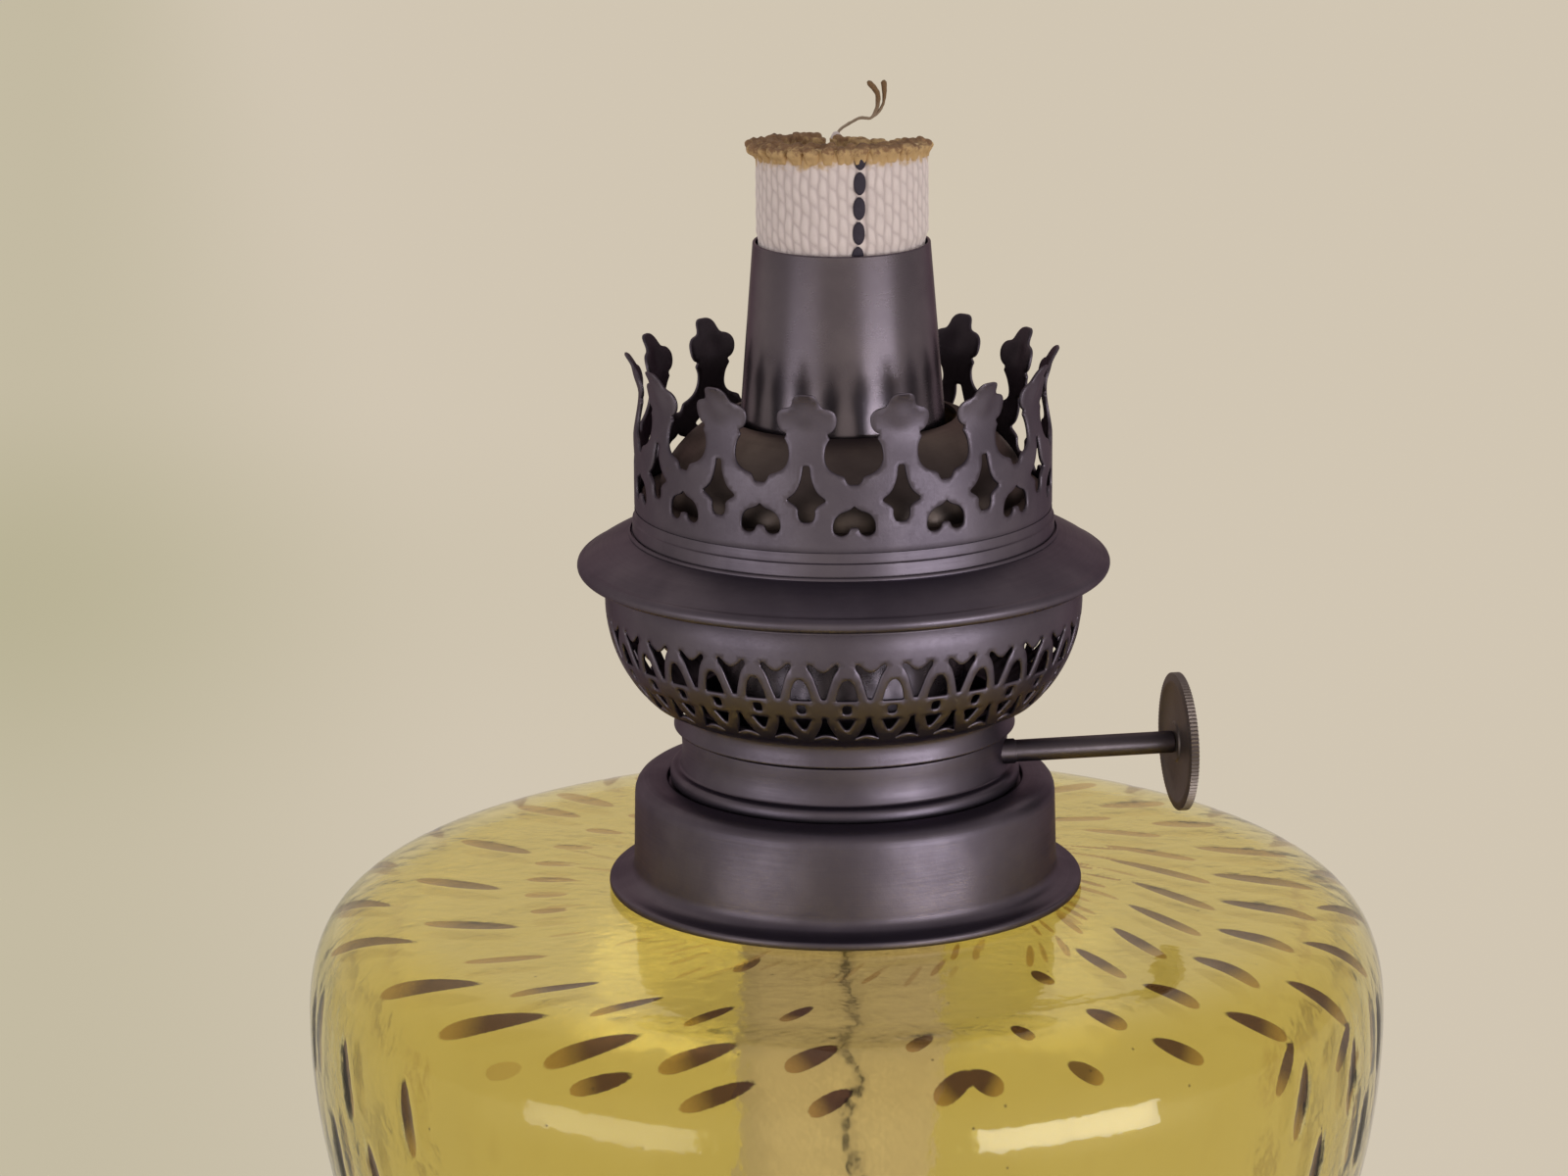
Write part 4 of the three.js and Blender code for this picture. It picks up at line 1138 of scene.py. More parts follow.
# Right half of a basket cell and of a crown cell, as shares of the cell's width and height
LATTICE_EDGE = [
    (0.5, 0.125, 0), (0.38, 0.118), (0.205, 0.072, 0.4), (0.30, 0.155), (0.375, 0.225), (0.44, 0.31),
    (0.452, 0.365, 0.4), (0.5, 0.372, 0), (0.5, 0.578, 0), (0.453, 0.578, 0.3), (0.38, 0.679),
    (0.30, 0.786), (0.24, 0.838), (0.17, 0.875, 0.5), (0.19, 0.908, 0.5), (0.25, 0.903), (0.33, 0.872),
    (0.42, 0.840), (0.5, 0.833, 0),
]
LATTICE_ARCH = [(0, 0.560), (0.235, 0.562, 0.4), (0.185, 0.670), (0.105, 0.745), (0, 0.775)]
LATTICE_DROP = [(0, 0.205), (0.06, 0.215), (0.20, 0.350, 0.4), (0, 0.352)]
LATTICE_DOT = [(0, 0.418), (0.10, 0.423), (0.105, 0.507), (0, 0.512)]


def strip_steps(line, steps):
    """Adds points to the stretches of a cell's outline that lie on its sides and ends."""
    made = []
    for i, a in enumerate(line):
        b = line[(i + 1) % len(line)]
        made.append(a)
        straight = a[0] == b[0] or a[1] == b[1]
        parts = steps(a, b) if straight else 1
        for k in range(1, parts):
            made.append((a[0] + (b[0] - a[0]) * k / parts, a[1] + (b[1] - a[1]) * k / parts))
    return made


END_PARTS = 8


def make_basket(mats):
    height = BELLY_DEPTH * LATTICE_ANGLE
    width = 2 * math.pi * BASKET_RADIUS / BASKET_CELLS
    half = [(0.5, 0, 0), *LATTICE_EDGE, (0.5, 1, 0)]
    outline = clean_sides(softened(scaled(mirrored(half), width, height, LATTICE_CORNER)), width, height)

    def parts(a, b):
        if a[1] == b[1]:
            return END_PARTS if abs(a[0] - b[0]) > width * 0.9 else 1
        return max(round(abs(a[1] - b[1]) / LATTICE_STEP), 1)

    outline = strip_steps(outline, parts)
    patterns = (LATTICE_ARCH, LATTICE_DOT, LATTICE_DROP)
    holes = [softened(scaled(mirrored(pattern), width, height, LATTICE_CORNER)) for pattern in patterns]
    cell = pierced_cell(outline, holes, width, height, LATTICE_SPACING, False)

    def place(across, up, depth):
        return belly(LATTICE_ANGLE * (1 - up / height), depth)

    vertices, faces, worn = pierced_sheet(BASKET_CELLS, cell, width, place, LATTICE_TURN)
    lip = BASKET_HIGH.z
    above = [(*belly(0), *belly(0, SHEET))]
    for reach, drop in LIP_LINE:
        above.append((BASKET_RADIUS + reach, lip - drop, BASKET_RADIUS + reach - SHEET, lip - drop))
    below = [(*belly(LATTICE_ANGLE), *belly(LATTICE_ANGLE, SHEET))]
    low = BASKET_LOW.z
    for reach, rise in SKIRT_LINE:
        below.append((SKIRT_RADIUS + reach, low + rise, SKIRT_RADIUS + reach - SHEET, low + rise))
    for rows in (above, below):
        plain_rows(rows, vertices, faces, worn)
    made = piece("air_basket_fine", vertices, faces, mats["sheet"], 50, WELD, edge=worn)
    settle(made, "gallery", "blackened_brass", "air_basket")


def plain_rows(rows, vertices, faces, worn):
    """Unpierced rings of the basket, each (outer radius, z, inner radius, z), closed at the last."""
    count = BASKET_CELLS * END_PARTS
    numbers = []
    for i, (radius, z, inner_radius, inner_z) in enumerate(rows):
        start = len(vertices)
        for r, h in ((radius, z), (inner_radius, inner_z)):
            for k in range(count):
                angle = 2 * math.pi * (k / END_PARTS - 0.5) / BASKET_CELLS + LATTICE_TURN
                vertices.append(around(r, angle, h))
                worn.append(0.8 if i == len(rows) - 1 else 0.0)
        numbers.append((list(range(start, start + count)), list(range(start + count, start + 2 * count))))
    for (outer_a, inner_a), (outer_b, inner_b) in zip(numbers, numbers[1:]):
        faces.extend(loop_faces([outer_a, outer_b], False))
        faces.extend(loop_faces([inner_a, inner_b], False))
    faces.extend(loop_faces([numbers[-1][0], numbers[-1][1]], False))


def clean_sides(line, width, height):
    """Snaps the points on a cell's sides and ends to exact values."""
    snapped = []
    for x, y in line:
        if abs(abs(x) - width / 2) < 1e-4:
            x = math.copysign(width / 2, x)
        if abs(y) < 1e-4:
            y = 0.0
        if abs(y - height) < 1e-4:
            y = height
        snapped.append((x, y))
    return snapped


CROWN_EDGE = [
    (0.5, 0.147, 0), (0.455, 0.147), (0.435, 0.108), (0.36, 0.090), (0.275, 0.115), (0.284, 0.190),
    (0.345, 0.238), (0.45, 0.256), (0.5, 0.283, 0), (0.5, 0.4186, 0), (0.445, 0.4186), (0.418, 0.445),
    (0.400, 0.470, 0.3), (0.305, 0.487), (0.225, 0.520), (0.188, 0.575), (0.195, 0.640), (0.225, 0.680),
    (0.252, 0.700, 0.35), (0.212, 0.728, 0.5), (0.275, 0.740), (0.322, 0.785), (0.325, 0.850),
    (0.262, 0.890), (0.165, 0.900), (0.138, 0.930), (0.124, 0.965), (0.080, 0.992), (0.0, 0.994),
]
CROWN_LOZENGE = [
    (0, 0.176), (0.062, 0.180), (0.094, 0.225), (0.082, 0.268), (0.214, 0.318, 0.5), (0.112, 0.362),
    (0.060, 0.433), (0.040, 0.495), (0.036, 0.532), (0, 0.535),
]
LOBE_HEIGHT = 17.0
LOBE_DEEP = 0.32
LOBE_REACH = 2.3
CROWN_OVERLAP = 0.3
CROWN_CORNER = 1.5
LOZENGE_CORNER = 0.8
CROWN_STEP = 0.8
CROWN_SPACING = 0.6


def make_crown(mats):
    width = 2 * math.pi * CROWN_RADIUS / CROWN_CELLS
    height = CROWN_HIGH.z - CROWN_LOW.z
    half = [(0.5, 0, 0), *CROWN_EDGE]
    outline = clean_sides(softened(scaled(mirrored(half), width, height, CROWN_CORNER)), width, height)

    def parts(a, b):
        step = abs(a[0] - b[0]) + abs(a[1] - b[1])
        return max(round(step / CROWN_STEP), 1) if abs(a[0]) > width * 0.49 or a[1] == 0 else 1

    outline = strip_steps(outline, parts)
    holes = [softened(scaled(mirrored(CROWN_LOZENGE), width, height, LOZENGE_CORNER))]
    cell = pierced_cell(outline, holes, width, height, CROWN_SPACING, True)

    def place(across, up, depth):
        share = max(up - CROWN_WALL, 0) / (height - CROWN_WALL)
        lean = CROWN_FLARE * share**4 - CROWN_WAIST * math.sin(math.pi * share**1.3)
        away = Vector((across, up - LOBE_HEIGHT)).length / LOBE_REACH
        lobe = LOBE_DEEP * smooth_step(1 - away)
        low = CROWN_OVERLAP if up < 1e-6 else 0
        return (CROWN_RADIUS + lean + lobe - depth, CROWN_LOW.z + up - low)

    vertices, faces, worn = pierced_sheet(CROWN_CELLS, cell, width, place, CROWN_TURN)
    made = piece("chimney_crown_fine", vertices, faces, mats["crown"], 50, WELD, edge=worn)
    settle(made, "gallery", "blackened_brass", "chimney_crown")


FLANGE_BANDS = (1.46, 1.90)
FLANGE_STEP = 0.3


def make_flange(mats):
    top = FLANGE_HIGH.z
    rim_z = FLANGE_LOW.z + FLANGE_RIM
    rim_r = FLANGE_HIGH.x - FLANGE_RIM
    line = [(CROWN_RADIUS - SHEET, top), (CROWN_RADIUS - 0.02, top)]
    radius, z = CROWN_RADIUS, top
    for band in FLANGE_BANDS:
        foot = z - band
        line += [
            (radius, z - 0.15),
            (radius, foot + 0.42),
            (radius + 0.05, foot + 0.24),
            (radius + FLANGE_STEP - 0.04, foot + 0.10),
        ]
        radius, z = radius + FLANGE_STEP, foot
    line += [(radius + out, z + up) for out, up in ((0, 0.42), (0.16, 0.36), (0.26, 0.18), (0.26, 0.02))]
    neck = (radius + 0.2, z - 0.06)
    slope_end = (rim_r + 0.1, rim_z + FLANGE_RIM)
    run, drop = slope_end[0] - neck[0], neck[1] - slope_end[1]
    towards = (neck[0] + 0.30 * run, neck[1] - 0.20 * drop)
    back = (neck[0] + 0.74 * run, neck[1] - 0.60 * drop)
    slope = [neck, *bend(neck, towards, back, slope_end, 18)]
    line += slope
    for i in range(1, 13):
        angle = math.pi / 2 - math.pi * 1.05 * i / 12
        line.append((rim_r + FLANGE_RIM * math.cos(angle), rim_z + FLANGE_RIM * math.sin(angle)))
    line += list(reversed(beside(slope[2:], -SHEET)))
    line += [(CROWN_RADIUS - SHEET, neck[1] - 0.6)]
    made = turned("gallery_flange_fine", line, mats["brass"], 192)
    settle(made, "gallery", "blackened_brass", "gallery_flange")


DOME_SKIRT = 26.2
DOME_SKIRT_HEIGHT = 3.2
DOME_SEAT = 2.4
DOME_GAP = 1.5


def make_flame_dome(mats):
    seat_z = DOME_LOW.z + DOME_SKIRT_HEIGHT
    top = DOME_HIGH.z
    seat = (DOME_SKIRT - DOME_SEAT, seat_z)
    rise = (top - TUBE_LOW.z) / (TUBE_HIGH.z - TUBE_LOW.z)
    hole = (mix(TUBE_FOOT_RADIUS, TUBE_TOP_RADIUS, rise) + DOME_GAP, top)
    line = [
        (DOME_SKIRT, DOME_LOW.z),
        *softened([(DOME_SKIRT, DOME_LOW.z), (DOME_SKIRT, seat_z, 0.5), seat], False)[1:],
        *bend(seat, (seat[0], seat_z + 5), (hole[0] + DOME_SEAT, top), hole, 16),
    ]
    made = turned("flame_dome_fine", [*line, *reversed(beside(line, SHEET))], mats["inner"], 160)
    settle(made, "gallery", "inner_brass", "flame_dome")


# Spindle, wheel and gland
WHEEL_TEETH = 108
WHEEL_TOOTH = 0.18
WHEEL_BEVEL = 0.14
WHEEL_HUB = 2.5
WHEEL_DISH = 0.2
WHEEL_RIM_FOOT, WHEEL_RIM, WHEEL_RIM_EDGE = 1.7, 1.4, 0.9
TOOTH_REACH = 1.0
SHAFT_STEP = 0.1
SHAFT_HEAD = 1.7
SHAFT_HEAD_LENGTH = 0.5
SHAFT_RADIUS = 1.45
SHAFT_NECK = 0.9
GLAND_MOUTH = 1.52
GLAND_HEAD = 2.1
GLAND_SLEEVE = 1.64
GLAND_SHOULDER, GLAND_SLEEVE_LENGTH = 3.4, 2.9


def on_spindle(made):
    """Moves a piece that was turned about Z onto the line of the spindle, its own Z along +X."""
    place = Vector((0, SPINDLE_Y, SPINDLE_Z)) * MM
    made.data.transform(Matrix.Translation(place) @ Matrix.Rotation(math.pi / 2, 4, "Y"))
    return made


def make_wheel(mats):
    low, high = WHEEL_LOW.x, WHEEL_HIGH.x
    radius = (WHEEL_HIGH.z - WHEEL_LOW.z) / 2
    face = [
        (SHAFT_NECK, low),
        (WHEEL_HUB, low),
        (WHEEL_HUB + WHEEL_DISH, low + WHEEL_DISH),
        (radius - WHEEL_RIM_FOOT, low + WHEEL_DISH),
        (radius - WHEEL_RIM, low),
        (radius - WHEEL_RIM_EDGE, low),
        (radius - 0.1, low + WHEEL_BEVEL),
    ]
    profile = [*face, *((r, low + high - x) for r, x in reversed(face))]
    toothed = {i for i, p in enumerate(profile) if p[0] > radius - TOOTH_REACH}

    def wave(i, angle):
        if i not in toothed:
            return 1
        return 1 - WHEEL_TOOTH / radius * (0.5 - 0.5 * math.cos(angle * WHEEL_TEETH))

    wheel = on_spindle(turned("wick_wheel_fine", profile, mats["wheel"], WHEEL_TEETH * 6, wave, 40))
    settle(wheel, "spindle", "blackened_brass", "wick_wheel")
    end = SHAFT_HIGH.x
    profile = softened(
        [
            (0, SHAFT_LOW.x),
            (SHAFT_RADIUS, SHAFT_LOW.x, 0.3),
            (SHAFT_RADIUS, low - SHAFT_STEP, 0.2),
            (SHAFT_NECK, low - SHAFT_STEP),
            (SHAFT_NECK, end - SHAFT_HEAD_LENGTH),
            (SHAFT_HEAD, end - SHAFT_HEAD_LENGTH, 0.2),
            (1.4, end, 0.5),
            (0, end),
        ]
    )
    shaft = on_spindle(turned("spindle_shaft_fine", profile, mats["steel"], 64))
    settle(shaft, "spindle", "spindle_steel", "spindle_shaft")


def make_gland(mats):
    low, high = GLAND_LOW.x, GLAND_HIGH.x
    profile = softened(
        [
            (GLAND_MOUTH, low),
            (GLAND_HEAD, low, 0.1),
            (GLAND_HEAD, high - GLAND_SHOULDER, 0.3),
            (GLAND_SLEEVE, high - GLAND_SLEEVE_LENGTH, 0.3),
            (GLAND_SLEEVE, high, 0.15),
            (GLAND_MOUTH, high, 0.1),
        ]
    )
    gland = on_spindle(turned("spindle_gland_fine", profile, mats["steel"], 64))
    settle(gland, "burner", "blackened_brass", "spindle_gland")


# Wick
WICK_THICKNESS = 2.0
WICK_ROUND_RADIUS = 9.7
WICK_OPEN_RADIUS = 12.843
WICK_ROUND_REACH = 3.100
WICK_OPEN_REACH = 2.717
WICK_FLAT_Y = 2.8
WICK_TURN_START = 160.0
WICK_TURN = 10.0
WICK_TAIL_TOP = 117.4
WICK_BLEND = 4.0
WICK_WIDTH = 60.147
WICK_FOLD = 1.5
WICK_SWAY = 3.0
YARN_WIDTH = 1.1
YARN_LENGTH = 2.45
WEAVE_RELIEF = 0.20
RIM_HEIGHT = 3.0
WICK_RISE = 1.75
WICK_SLANT = 0.8
WICK_DIP = 1.0
WICK_DIP_PLACE = math.radians(135)
WICK_RISE_START = 8.0
WICK_SWELL = 0.24
WICK_SWELL_RIGHT = 0.22
WICK_CLOTH_DROP = 1.1
CLOTH_STEPS = 420
CLOTH_ROW = 0.18
TAIL_ROW = 1.2


def blended_max(a, b, width):
    near = max(width - abs(a - b), 0.0)
    return max(a, b) + near * near / (4 * width)


def wick_middle(share, z):
    """Middle of the band's thickness, where share runs from -1 to 1 across the band."""
    turn = smooth_step((WICK_TURN_START - z) / WICK_TURN)
    hang = smooth_step((WICK_TAIL_TOP - z) / (WICK_TAIL_TOP - WICK_LOW.z))
    radius = mix(WICK_ROUND_RADIUS, WICK_OPEN_RADIUS, turn)
    reach = mix(WICK_ROUND_REACH, WICK_OPEN_REACH, turn)
    angle = share * reach
    fold = WICK_FOLD * hang * math.cos(3 * angle)
    flat = mix(WICK_ROUND_RADIUS + WICK_BLEND, WICK_FLAT_Y, turn)
    x = (radius + fold) * math.sin(angle) - WICK_SWAY * hang * (1 + share) * share
    y = blended_max(-(radius + fold) * math.cos(angle), -flat, WICK_BLEND)
    return Vector((x, y, z))


def wick_point(share, z, off):
    step = 0.01
    along = (wick_middle(share + step, z) - wick_middle(share - step, z)).normalized()
    aside = max(math.sin(share * WICK_ROUND_REACH), 0)
    swell = (WICK_SWELL + WICK_SWELL_RIGHT * aside * aside) * smooth_step((z - TUBE_HIGH.z) / 1.5)
    return wick_middle(share, z) + Vector((along.y, -along.x, 0)) * (off + swell)


def weave(across, z):
    """Height of the woven face, 0 in the gaps and 1 on the back of a yarn: plump cells in staggered
    columns, a little uneven."""
    stray = noise.noise(Vector((across * 0.35, z * 0.35, 3.0)))
    column = across / YARN_WIDTH + 0.22 * stray
    index = math.floor(column)
    inside = column - index - 0.5
    row = z / YARN_LENGTH + 0.5 * (index % 2) + 0.30 * inside + 0.16 * stray
    row += 0.10 * noise.noise(Vector((index * 3.7, math.floor(row) * 5.1, 0.0)))
    rise = row - math.floor(row)
    u = 2 * inside
    v = 2 * rise - 1
    plump = 1 - 0.35 * rise
    return max(1 - u * u / plump, 0) ** 0.6 * max(1 - v * v, 0) ** 0.5


def cut_rise(share):
    """How far the wick's slanting top stands above its straight cut: most at the front."""
    angle = share * WICK_ROUND_REACH
    dip = max(math.cos(angle - WICK_DIP_PLACE), 0) ** 3
    return WICK_RISE + WICK_SLANT * math.cos(angle) - WICK_DIP * dip


def make_wick(mats):
    levels = []
    z = WICK_HIGH.z - WICK_CLOTH_DROP
    while z > TUBE_HIGH.z - 1:
        levels.append(z)
        z -= CLOTH_ROW
    while z > WICK_LOW.z:
        levels.append(z)
        z -= TAIL_ROW
    levels.append(WICK_LOW.z)
    vertices, faces, yarn = [], [], []
    half = WICK_THICKNESS / 2
    for z in levels:
        shown = smooth_step((z - TUBE_HIGH.z + 1) / 1.5)
        tail = smooth_step((WICK_TAIL_TOP - z) / 2)
        relief = WEAVE_RELIEF * max(shown, 0.6 * tail)
        lift = min(max((z - WICK_HIGH.z + WICK_RISE_START) / (WICK_RISE_START - WICK_CLOTH_DROP), 0), 1)
        for side in (1, -1):
            for i in range(CLOTH_STEPS + 1):
                share = 2 * i / CLOTH_STEPS - 1
                share *= side
                height = weave(share * WICK_WIDTH / 2, z + lift * cut_rise(share))
                edge = smooth_step((1 - abs(share)) * 40)
                off = side * half * (0.35 + 0.65 * edge) - side * relief * (1 - height)
                if side > 0:
                    beside_marker = abs(share - marker_share(z)) * WICK_WIDTH / 2
                    off -= MARKER_GROOVE * smooth_step((MARKER_HALF + 0.45 - beside_marker) / 0.5)
                vertices.append(wick_point(share, z, off) + Vector((0, 0, lift * cut_rise(share))))
                yarn.append(height)
    count = 2 * (CLOTH_STEPS + 1)
    for row in range(len(levels) - 1):
        for i in range(count):
            a = row * count + i
            b = row * count + (i + 1) % count
            faces.append((a, b, b + count, a + count))
    last = (len(levels) - 1) * count
    for i in range(CLOTH_STEPS):
        j = count - 1 - i
        faces.append((i, j, j - 1, i + 1))
        faces.append((last + i, last + i + 1, last + j - 1, last + j))
    made = piece("wick_cloth", vertices, faces, mats["cotton"], 0, 0, yarn=yarn)
    settle(made, "wick", "wick_cotton", "wick")
    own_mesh(made)
    rim = make_rim(mats)
    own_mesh(rim)
    marker = make_marker(mats)
    threads = make_thread(mats)
    for thread in threads:
        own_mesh(thread)


def strand(points, radius, sides=7, flat=1.0):
    """A closed tube along points, radius(t) thick and flattened by a share, as (vertices, faces)."""
    vertices, faces = [], []
    count = len(points)
    side = Vector((1, 0, 0))
    for i, point in enumerate(points):
        ahead = (points[min(i + 1, count - 1)] - points[max(i - 1, 0)]).normalized()
        side = (side - ahead * side.dot(ahead)).normalized()
        other = ahead.cross(side)
        thick = radius(i / (count - 1))
        for k in range(sides):
            angle = 2 * math.pi * k / sides
            vertices.append(point + (side * math.cos(angle) + other * math.sin(angle) * flat) * thick)
    for i in range(count - 1):
        for k in range(sides):
            a = i * sides + k
            b = i * sides + (k + 1) % sides
            faces.append((a, b, b + sides, a + sides))
    faces.append(tuple(reversed(range(sides))))
    faces.append(tuple(range((count - 1) * sides, count * sides)))
    return vertices, faces


def joined_strands(name, strands, material):
    vertices, faces = [], []
    for more_vertices, more_faces in strands:
        start = len(vertices)
        vertices += more_vertices
        faces += [tuple(start + n for n in face) for face in more_faces]
    return piece(name, vertices, faces, material, 0, 0)


RIM_ENDS = 62
RIM_ROWS = (0.75, -0.1, -0.85)
RIM_VOXEL = 0.16
RIM_THIN, RIM_THICK = 0.46, 0.62
RIM_ROUGHNESS, RIM_ROUGH_SCALE = 0.12, 1.1


def make_rim(mats):
    """The singed top of the wick: swollen yarn ends that lean out over the cloth and have run
    together, leaning out most at the left."""
    rng = random.Random(5)
    strands = []
    foot_z = WICK_HIGH.z - RIM_HEIGHT
    for row, off in enumerate(RIM_ROWS):
        for i in range(RIM_ENDS):
            share = (2 * (i + 0.5 * (row % 2) + rng.uniform(-0.25, 0.25)) / RIM_ENDS - 1) * 0.985
            angle = share * WICK_ROUND_REACH
            flare = 0.50 + 0.95 * max(math.cos(angle + math.radians(80)), 0) ** 2
            foot = wick_point(share, foot_z, off - 0.1) + Vector((0, 0, cut_rise(share)))
            outward = (wick_point(share, foot_z, 1) - wick_point(share, foot_z, 0)).normalized()
            aside = Vector((-outward.y, outward.x, 0)) * rng.uniform(-0.25, 0.25)
            lean = outward * (flare * (1, 0.7, 0.2)[row] + rng.uniform(-0.1, 0.15))
            rise = RIM_HEIGHT - 0.55 + rng.uniform(-0.55, 0.15) - 0.25 * (row == 0)
            tip = foot + Vector((0, 0, rise)) + lean + aside
            middle = foot + Vector((0, 0, rise * 0.6)) + lean * 0.25
            points = []
            for k in range(8):
                t = k / 7
                points.append(foot * (1 - t) ** 2 + middle * 2 * t * (1 - t) + tip * t * t)
            thick = rng.uniform(RIM_THIN, RIM_THICK)

            def radius(t, thick=thick):
                return thick * (0.78 + 0.45 * smooth_step(1.6 * t - 0.3)) * (1 if t < 0.99 else 0.6)

            strands.append(strand(points, radius, 10))
    made = joined_strands("wick_singed_rim", strands, mats["singed"])
    roughen(made, RIM_ROUGHNESS, RIM_ROUGH_SCALE)
    melt(made, RIM_VOXEL, 2)
    return settle(made, "wick", "wick_cotton")


def melt(made, size, rounds):
    """Turns overlapping bodies into one smooth skin with faces of a size in millimetres."""
    fused = made.modifiers.new("fused", "REMESH")
    fused.mode = "VOXEL"
    fused.voxel_size = size * MM
    eased = made.modifiers.new("eased", "SMOOTH")
    eased.iterations = rounds
    graph = bpy.context.evaluated_depsgraph_get()
    skin = bpy.data.meshes.new_from_object(made.evaluated_get(graph))
    material = made.data.materials[0]
    made.modifiers.clear()
    made.data = skin
    skin.materials.clear()
    skin.materials.append(material)
    skin.shade_smooth()


def roughen(made, amount, scale):
    """Moves each vertex along its normal by smooth noise, in millimetres."""
    normals = [v.normal.copy() for v in made.data.vertices]
    for v, normal in zip(made.data.vertices, normals):
        v.co += normal * (noise.noise(v.co / MM * scale) * amount * MM)


MARKER_SHARE = 0.002
MARKER_LEAN = 0.0008
MARKER_THIN = 0.42
MARKER_FLAT = 0.34
MARKER_DEPTH = 0.79
MARKER_TAIL_DEPTH = 0.9
MARKER_GROOVE = 0.26
MARKER_PITCH = 3.17
MARKER_DASH = 2.9
MARKER_HALF = 0.78


def marker_share(z):
    """Where the marker yarn runs: straight up the middle, wandering a little in the tail."""
    tail = smooth_step((WICK_TAIL_TOP - z) / 4)
    return MARKER_SHARE + MARKER_LEAN * (z - TUBE_HIGH.z) * (1 - tail) + 0.03 * tail * math.sin(0.3 * z)


def make_marker(mats):
    """A dark yarn stitched down the middle of the band, showing as short dashes."""
    strands = []
    z = WICK_HIGH.z - RIM_HEIGHT + 4.70
    while z > WICK_LOW.z + 3:
        tail = smooth_step((WICK_TAIL_TOP - z) / 4)
        share = marker_share(z)
        off = mix(MARKER_DEPTH, MARKER_TAIL_DEPTH, tail)
        points = [wick_point(share, z - MARKER_DASH * k / 10, off) for k in range(11)]

        def radius(t, thick=mix(MARKER_HALF, MARKER_THIN, tail)):
            return thick * max(1 - abs(2 * t - 1) ** 2.4, 0.05) ** 0.5

        strands.append(strand(points, radius, 12, mix(MARKER_FLAT, 1.0, tail)))
        z -= MARKER_PITCH
    made = joined_strands("wick_marker_yarn", strands, mats["marker"])
    return settle(made, "wick", "wick_cotton")


# Routes across the back seam, as (sideways, up) in millimetres, with each route's two thicknesses below
THREAD_ROUTE = [
    (0.9, 0.2), (1.1, 1.6), (2.3, 2.5), (4.1, 3.3), (5.5, 3.2), (6.1, 3.9), (6.5, 5.0), (6.4, 6.5),
    (5.2, 8.0),
]
THREAD_SPLIT = [(5.6, 3.25), (6.5, 3.8), (7.2, 4.9), (7.4, 6.3), (7.3, 8.0)]
THREAD_LOOP = [(0.4, -0.8), (0.35, 0.6), (0.75, 1.4), (1.15, 1.1), (1.25, -0.6)]
THREAD_THIN, THREAD_THICK = 0.19, 0.38
LOOP_THIN, LOOP_THICK = 0.36, 0.40
THREAD_ROUGHNESS, THREAD_ROUGH_SCALE = 0.06, 2.5


def eased_route(points, steps=5):
    """A smooth line through all the points."""
    fine = []
    for i in range(len(points) - 1):
        before, after = points[max(i - 1, 0)], points[min(i + 2, len(points) - 1)]
        a, b = points[i], points[i + 1]
        for k in range(steps):
            t = k / steps
            square = 2 * before - 5 * a + 4 * b - after
            cube = 3 * a - before - 3 * b + after
            fine.append(0.5 * (2 * a + (b - before) * t + square * t * t + cube * t * t * t))
    fine.append(points[-1])
    return fine


def make_thread(mats):
    """A loose thread that stands up from the back seam and splits in two, and a pale loop beside it."""
    seam = wick_point(1.0, WICK_HIGH.z - 2.0 + cut_rise(1.0), 0)
    made = []
    for name, routes, material, thin, thick in (
        ("wick_loose_thread", (THREAD_ROUTE, THREAD_SPLIT), "thread", THREAD_THIN, THREAD_THICK),
        ("wick_pale_loop", (THREAD_LOOP,), "loop", LOOP_THIN, LOOP_THICK),
    ):
        strands = []
        for route in routes:
            points = eased_route([seam + Vector((x, 0.15 * x, z)) for x, z in route])

            def radius(t, thin=thin, thick=thick):
                return mix(thin, thick, smooth_step((t - 0.55) * 2.5)) * (1 if t < 0.99 else 0.5)

            strands.append(strand(points, radius, 8))
        thread = joined_strands(name, strands, mats[material])
        roughen(thread, THREAD_ROUGHNESS, THREAD_ROUGH_SCALE)
        made.append(settle(thread, "wick", "wick_cotton"))
    return made


# Plain CAD pieces keep their shape and get a finish
def dress_cad(mats):
    finishes = {
        "foot_filling": "plaster",
        "collar_cement": "plaster",
        "burner_base_plate": "inner",
        "inner_draught_tube": "inner",
        "wick_backing_plate": "inner",
        "spindle_end_bush": "inner",
        "cog_wheel_left": "inner",
        "cog_wheel_middle": "inner",
        "cog_wheel_right": "inner",
    }
    for node, finish in finishes.items():
        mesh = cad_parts[node].data
        mesh.materials.clear()
        mesh.materials.append(mats[finish])
        mesh.shade_smooth()
        mesh.set_sharp_from_angle(angle=math.radians(32))


# Stage
FLOOR_TONE = (0.715, 0.632, 0.505)
FLOOR_SHADE = (0.500, 0.465, 0.300)
FLOOR_MIRRORED = (0.46, 0.41, 0.42)
FLOOR_MIRRORED_SHARE = 0.35
FLOOR_GLOW = 0.8
FLOOR_BASE = (0.60, 0.54, 0.43)
SIDE_SHADE = 0.52
SPOT_SHADE = 0.42
SHADE_PLACE = (-0.14, 0.62, 0.0)
SHADE_REACH = 0.26
SHADE_SIDE = (-0.12, -0.01)
SHADE_SLANT = -0.05
ROOM_TONE = (0.62, 0.545, 0.44)
CEILING_TONE = (0.27, 0.235, 0.225)
ROOM_DIM = 0.75
WALL_SHARE = 1.35
FILL_TONE = (1.0, 0.97, 0.93)
FILL_SIDE = 0.95
FILL_ABOVE = 0.45
RISE_START, RISE_END = 0.05, 0.75
ASIDE_START, ASIDE_END = 0.2, 0.85


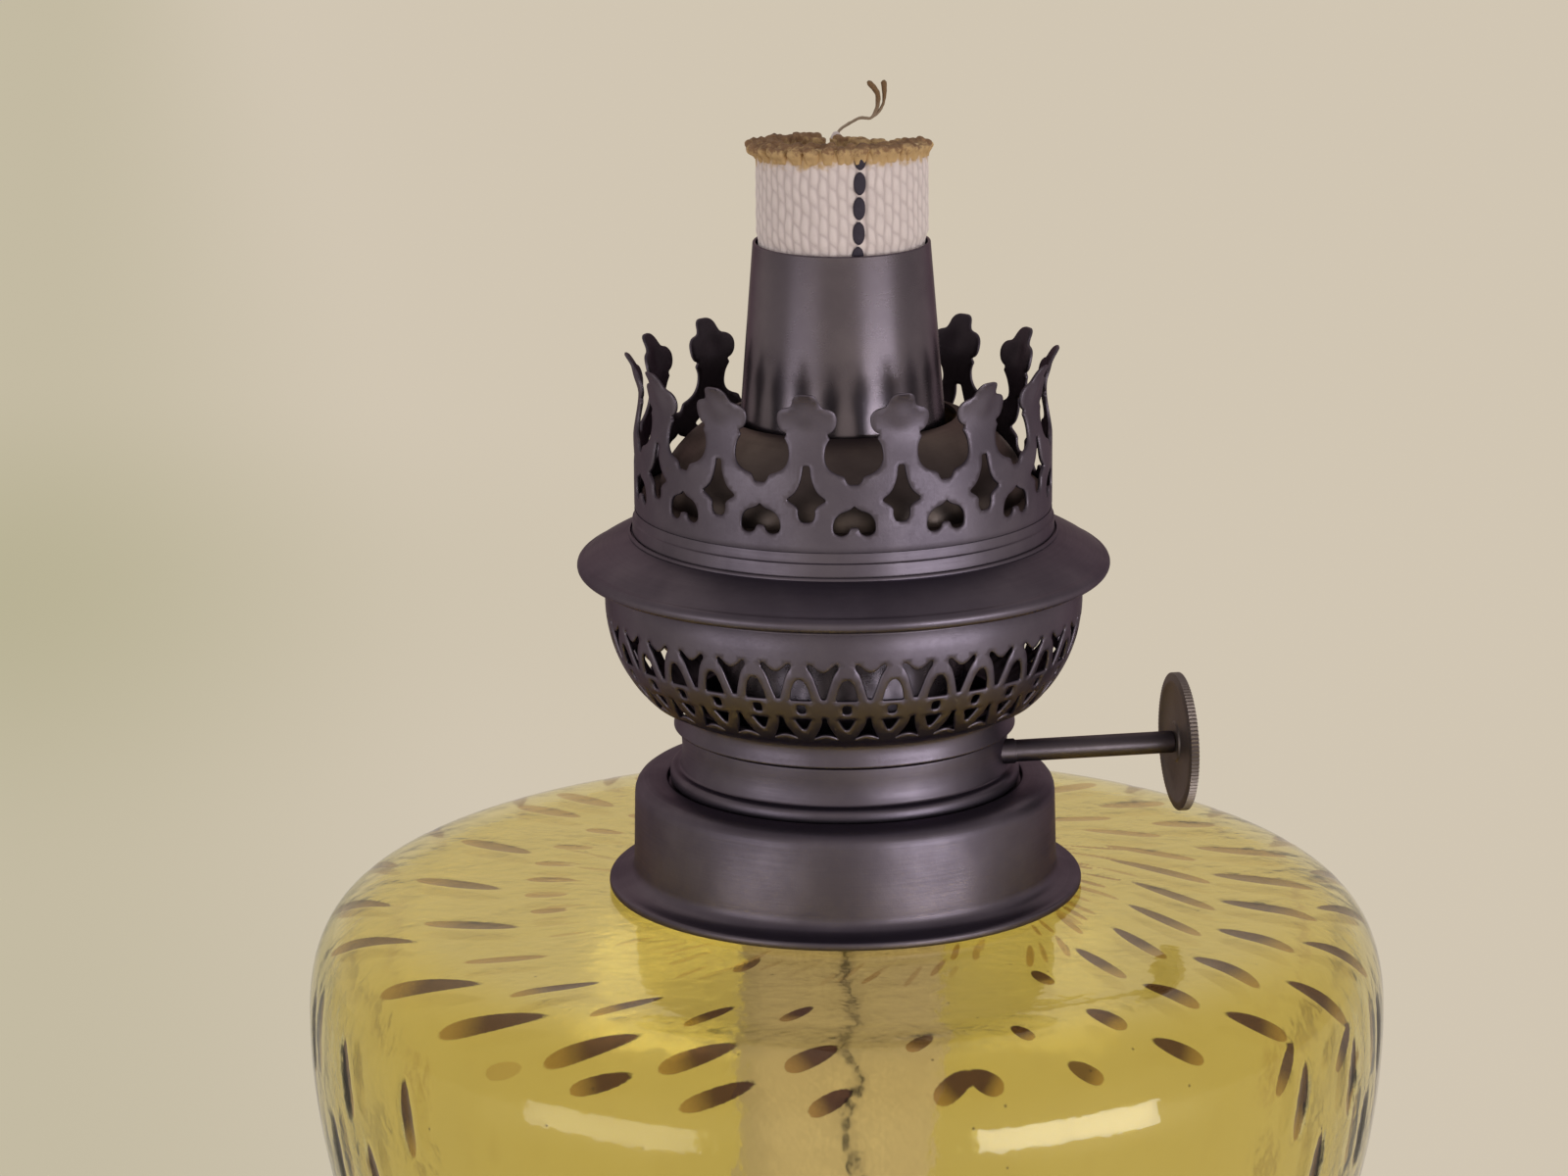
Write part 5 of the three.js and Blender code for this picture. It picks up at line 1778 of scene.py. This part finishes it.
def make_floor():
    bpy.ops.mesh.primitive_plane_add(size=12, location=(0, 0, 0))
    floor = bpy.context.object
    floor.name = "studio_floor"
    s = Shader("studio_floor")
    s.set(Base_Color=FLOOR_BASE, Roughness=0.9)
    inside = s.node("ShaderNodeTexCoord").outputs["Object"]
    away = s.node("ShaderNodeVectorMath", inside, SHADE_PLACE, operation="DISTANCE").outputs["Value"]
    x, y = s.split(inside)[:2]
    side = s.ramp(s.math("ADD", x, s.math("MULTIPLY", y, SHADE_SLANT)), *SHADE_SIDE, SIDE_SHADE, 0.0)
    spot = s.ramp(away, 0.0, SHADE_REACH, SPOT_SHADE, 0.0)
    tone = s.mix(s.math("ADD", side, spot), FLOOR_TONE, FLOOR_SHADE)
    mirrored_ray = s.node("ShaderNodeLightPath").outputs["Is Glossy Ray"]
    tone = s.mix(s.math("MULTIPLY", mirrored_ray, FLOOR_MIRRORED_SHARE), tone, FLOOR_MIRRORED)
    glow = s.node("ShaderNodeEmission", tone, 1.0)
    share = s.math("MULTIPLY", s.seen(), FLOOR_GLOW)
    both = s.node("ShaderNodeMixShader", share, s.principled.outputs["BSDF"], glow.outputs[0])
    s.surface(both.outputs[0])
    floor.data.materials.append(s.material)


def make_room():
    """Light from all round: pale at the sides, dim above."""
    world = bpy.data.worlds.new("studio_world")
    bpy.context.scene.world = world
    world.use_nodes = True
    n = Nodes(world.node_tree)
    ahead, height = n.split(n.node("ShaderNodeTexCoord").outputs["Generated"])[1:]
    lowered = n.math("MULTIPLY_ADD", n.math("MAXIMUM", ahead, 0.0), -WALL_SHARE, height)
    rise = n.ramp(lowered, RISE_START, RISE_END)
    aside = n.ramp(n.math("ABSOLUTE", ahead), ASIDE_START, ASIDE_END, ROOM_DIM, 0.0)
    tone = n.mix(n.math("MAXIMUM", rise, aside), ROOM_TONE, CEILING_TONE)
    shown = n.node("ShaderNodeBackground", tone, 1.0).outputs[0]
    strength = n.ramp(height, RISE_START, RISE_END, FILL_SIDE, FILL_ABOVE, smooth=False)
    fill = n.node("ShaderNodeBackground", FILL_TONE, strength).outputs[0]
    both = n.node("ShaderNodeMixShader", n.seen(), fill, shown).outputs[0]
    n.node("ShaderNodeOutputWorld", both)


# Each window: name, bearing from the camera's side, width, height, middle's height, power
WINDOWS = (
    ("window_right", 44, 0.48, 0.165, 0.078, 1.35),
    ("window_left", -48, 0.46, 0.165, 0.078, 0.52),
)
WINDOW_DISTANCE = 0.7
WINDOW_TONE = (1.0, 0.975, 0.97)


def make_windows():
    for name, bearing, width, height, middle, power in WINDOWS:
        data = bpy.data.lights.new(name, "AREA")
        data.shape = "RECTANGLE"
        data.size, data.size_y = width, height
        data.energy = power
        data.color = WINDOW_TONE
        light = bpy.data.objects.new(name, data)
        bpy.context.scene.collection.objects.link(light)
        way = around(1.0, math.radians(bearing) - VIEW_TURN, 0)
        light.location = way * WINDOW_DISTANCE + Vector((0, 0, middle))
        light.rotation_euler = (-way).to_track_quat("-Z", "Y").to_euler()


def main():
    make_camera()
    mats = make_materials()
    make_foot(mats)
    make_font(mats)
    make_collar(mats)
    make_burner(mats)
    make_tube(mats)
    make_basket(mats)
    make_crown(mats)
    make_flange(mats)
    make_flame_dome(mats)
    make_wheel(mats)
    make_gland(mats)
    make_wick(mats)
    dress_cad(mats)
    make_floor()
    make_room()
    make_windows()
    scene = bpy.context.scene
    scene.view_settings.view_transform = "Standard"


main()
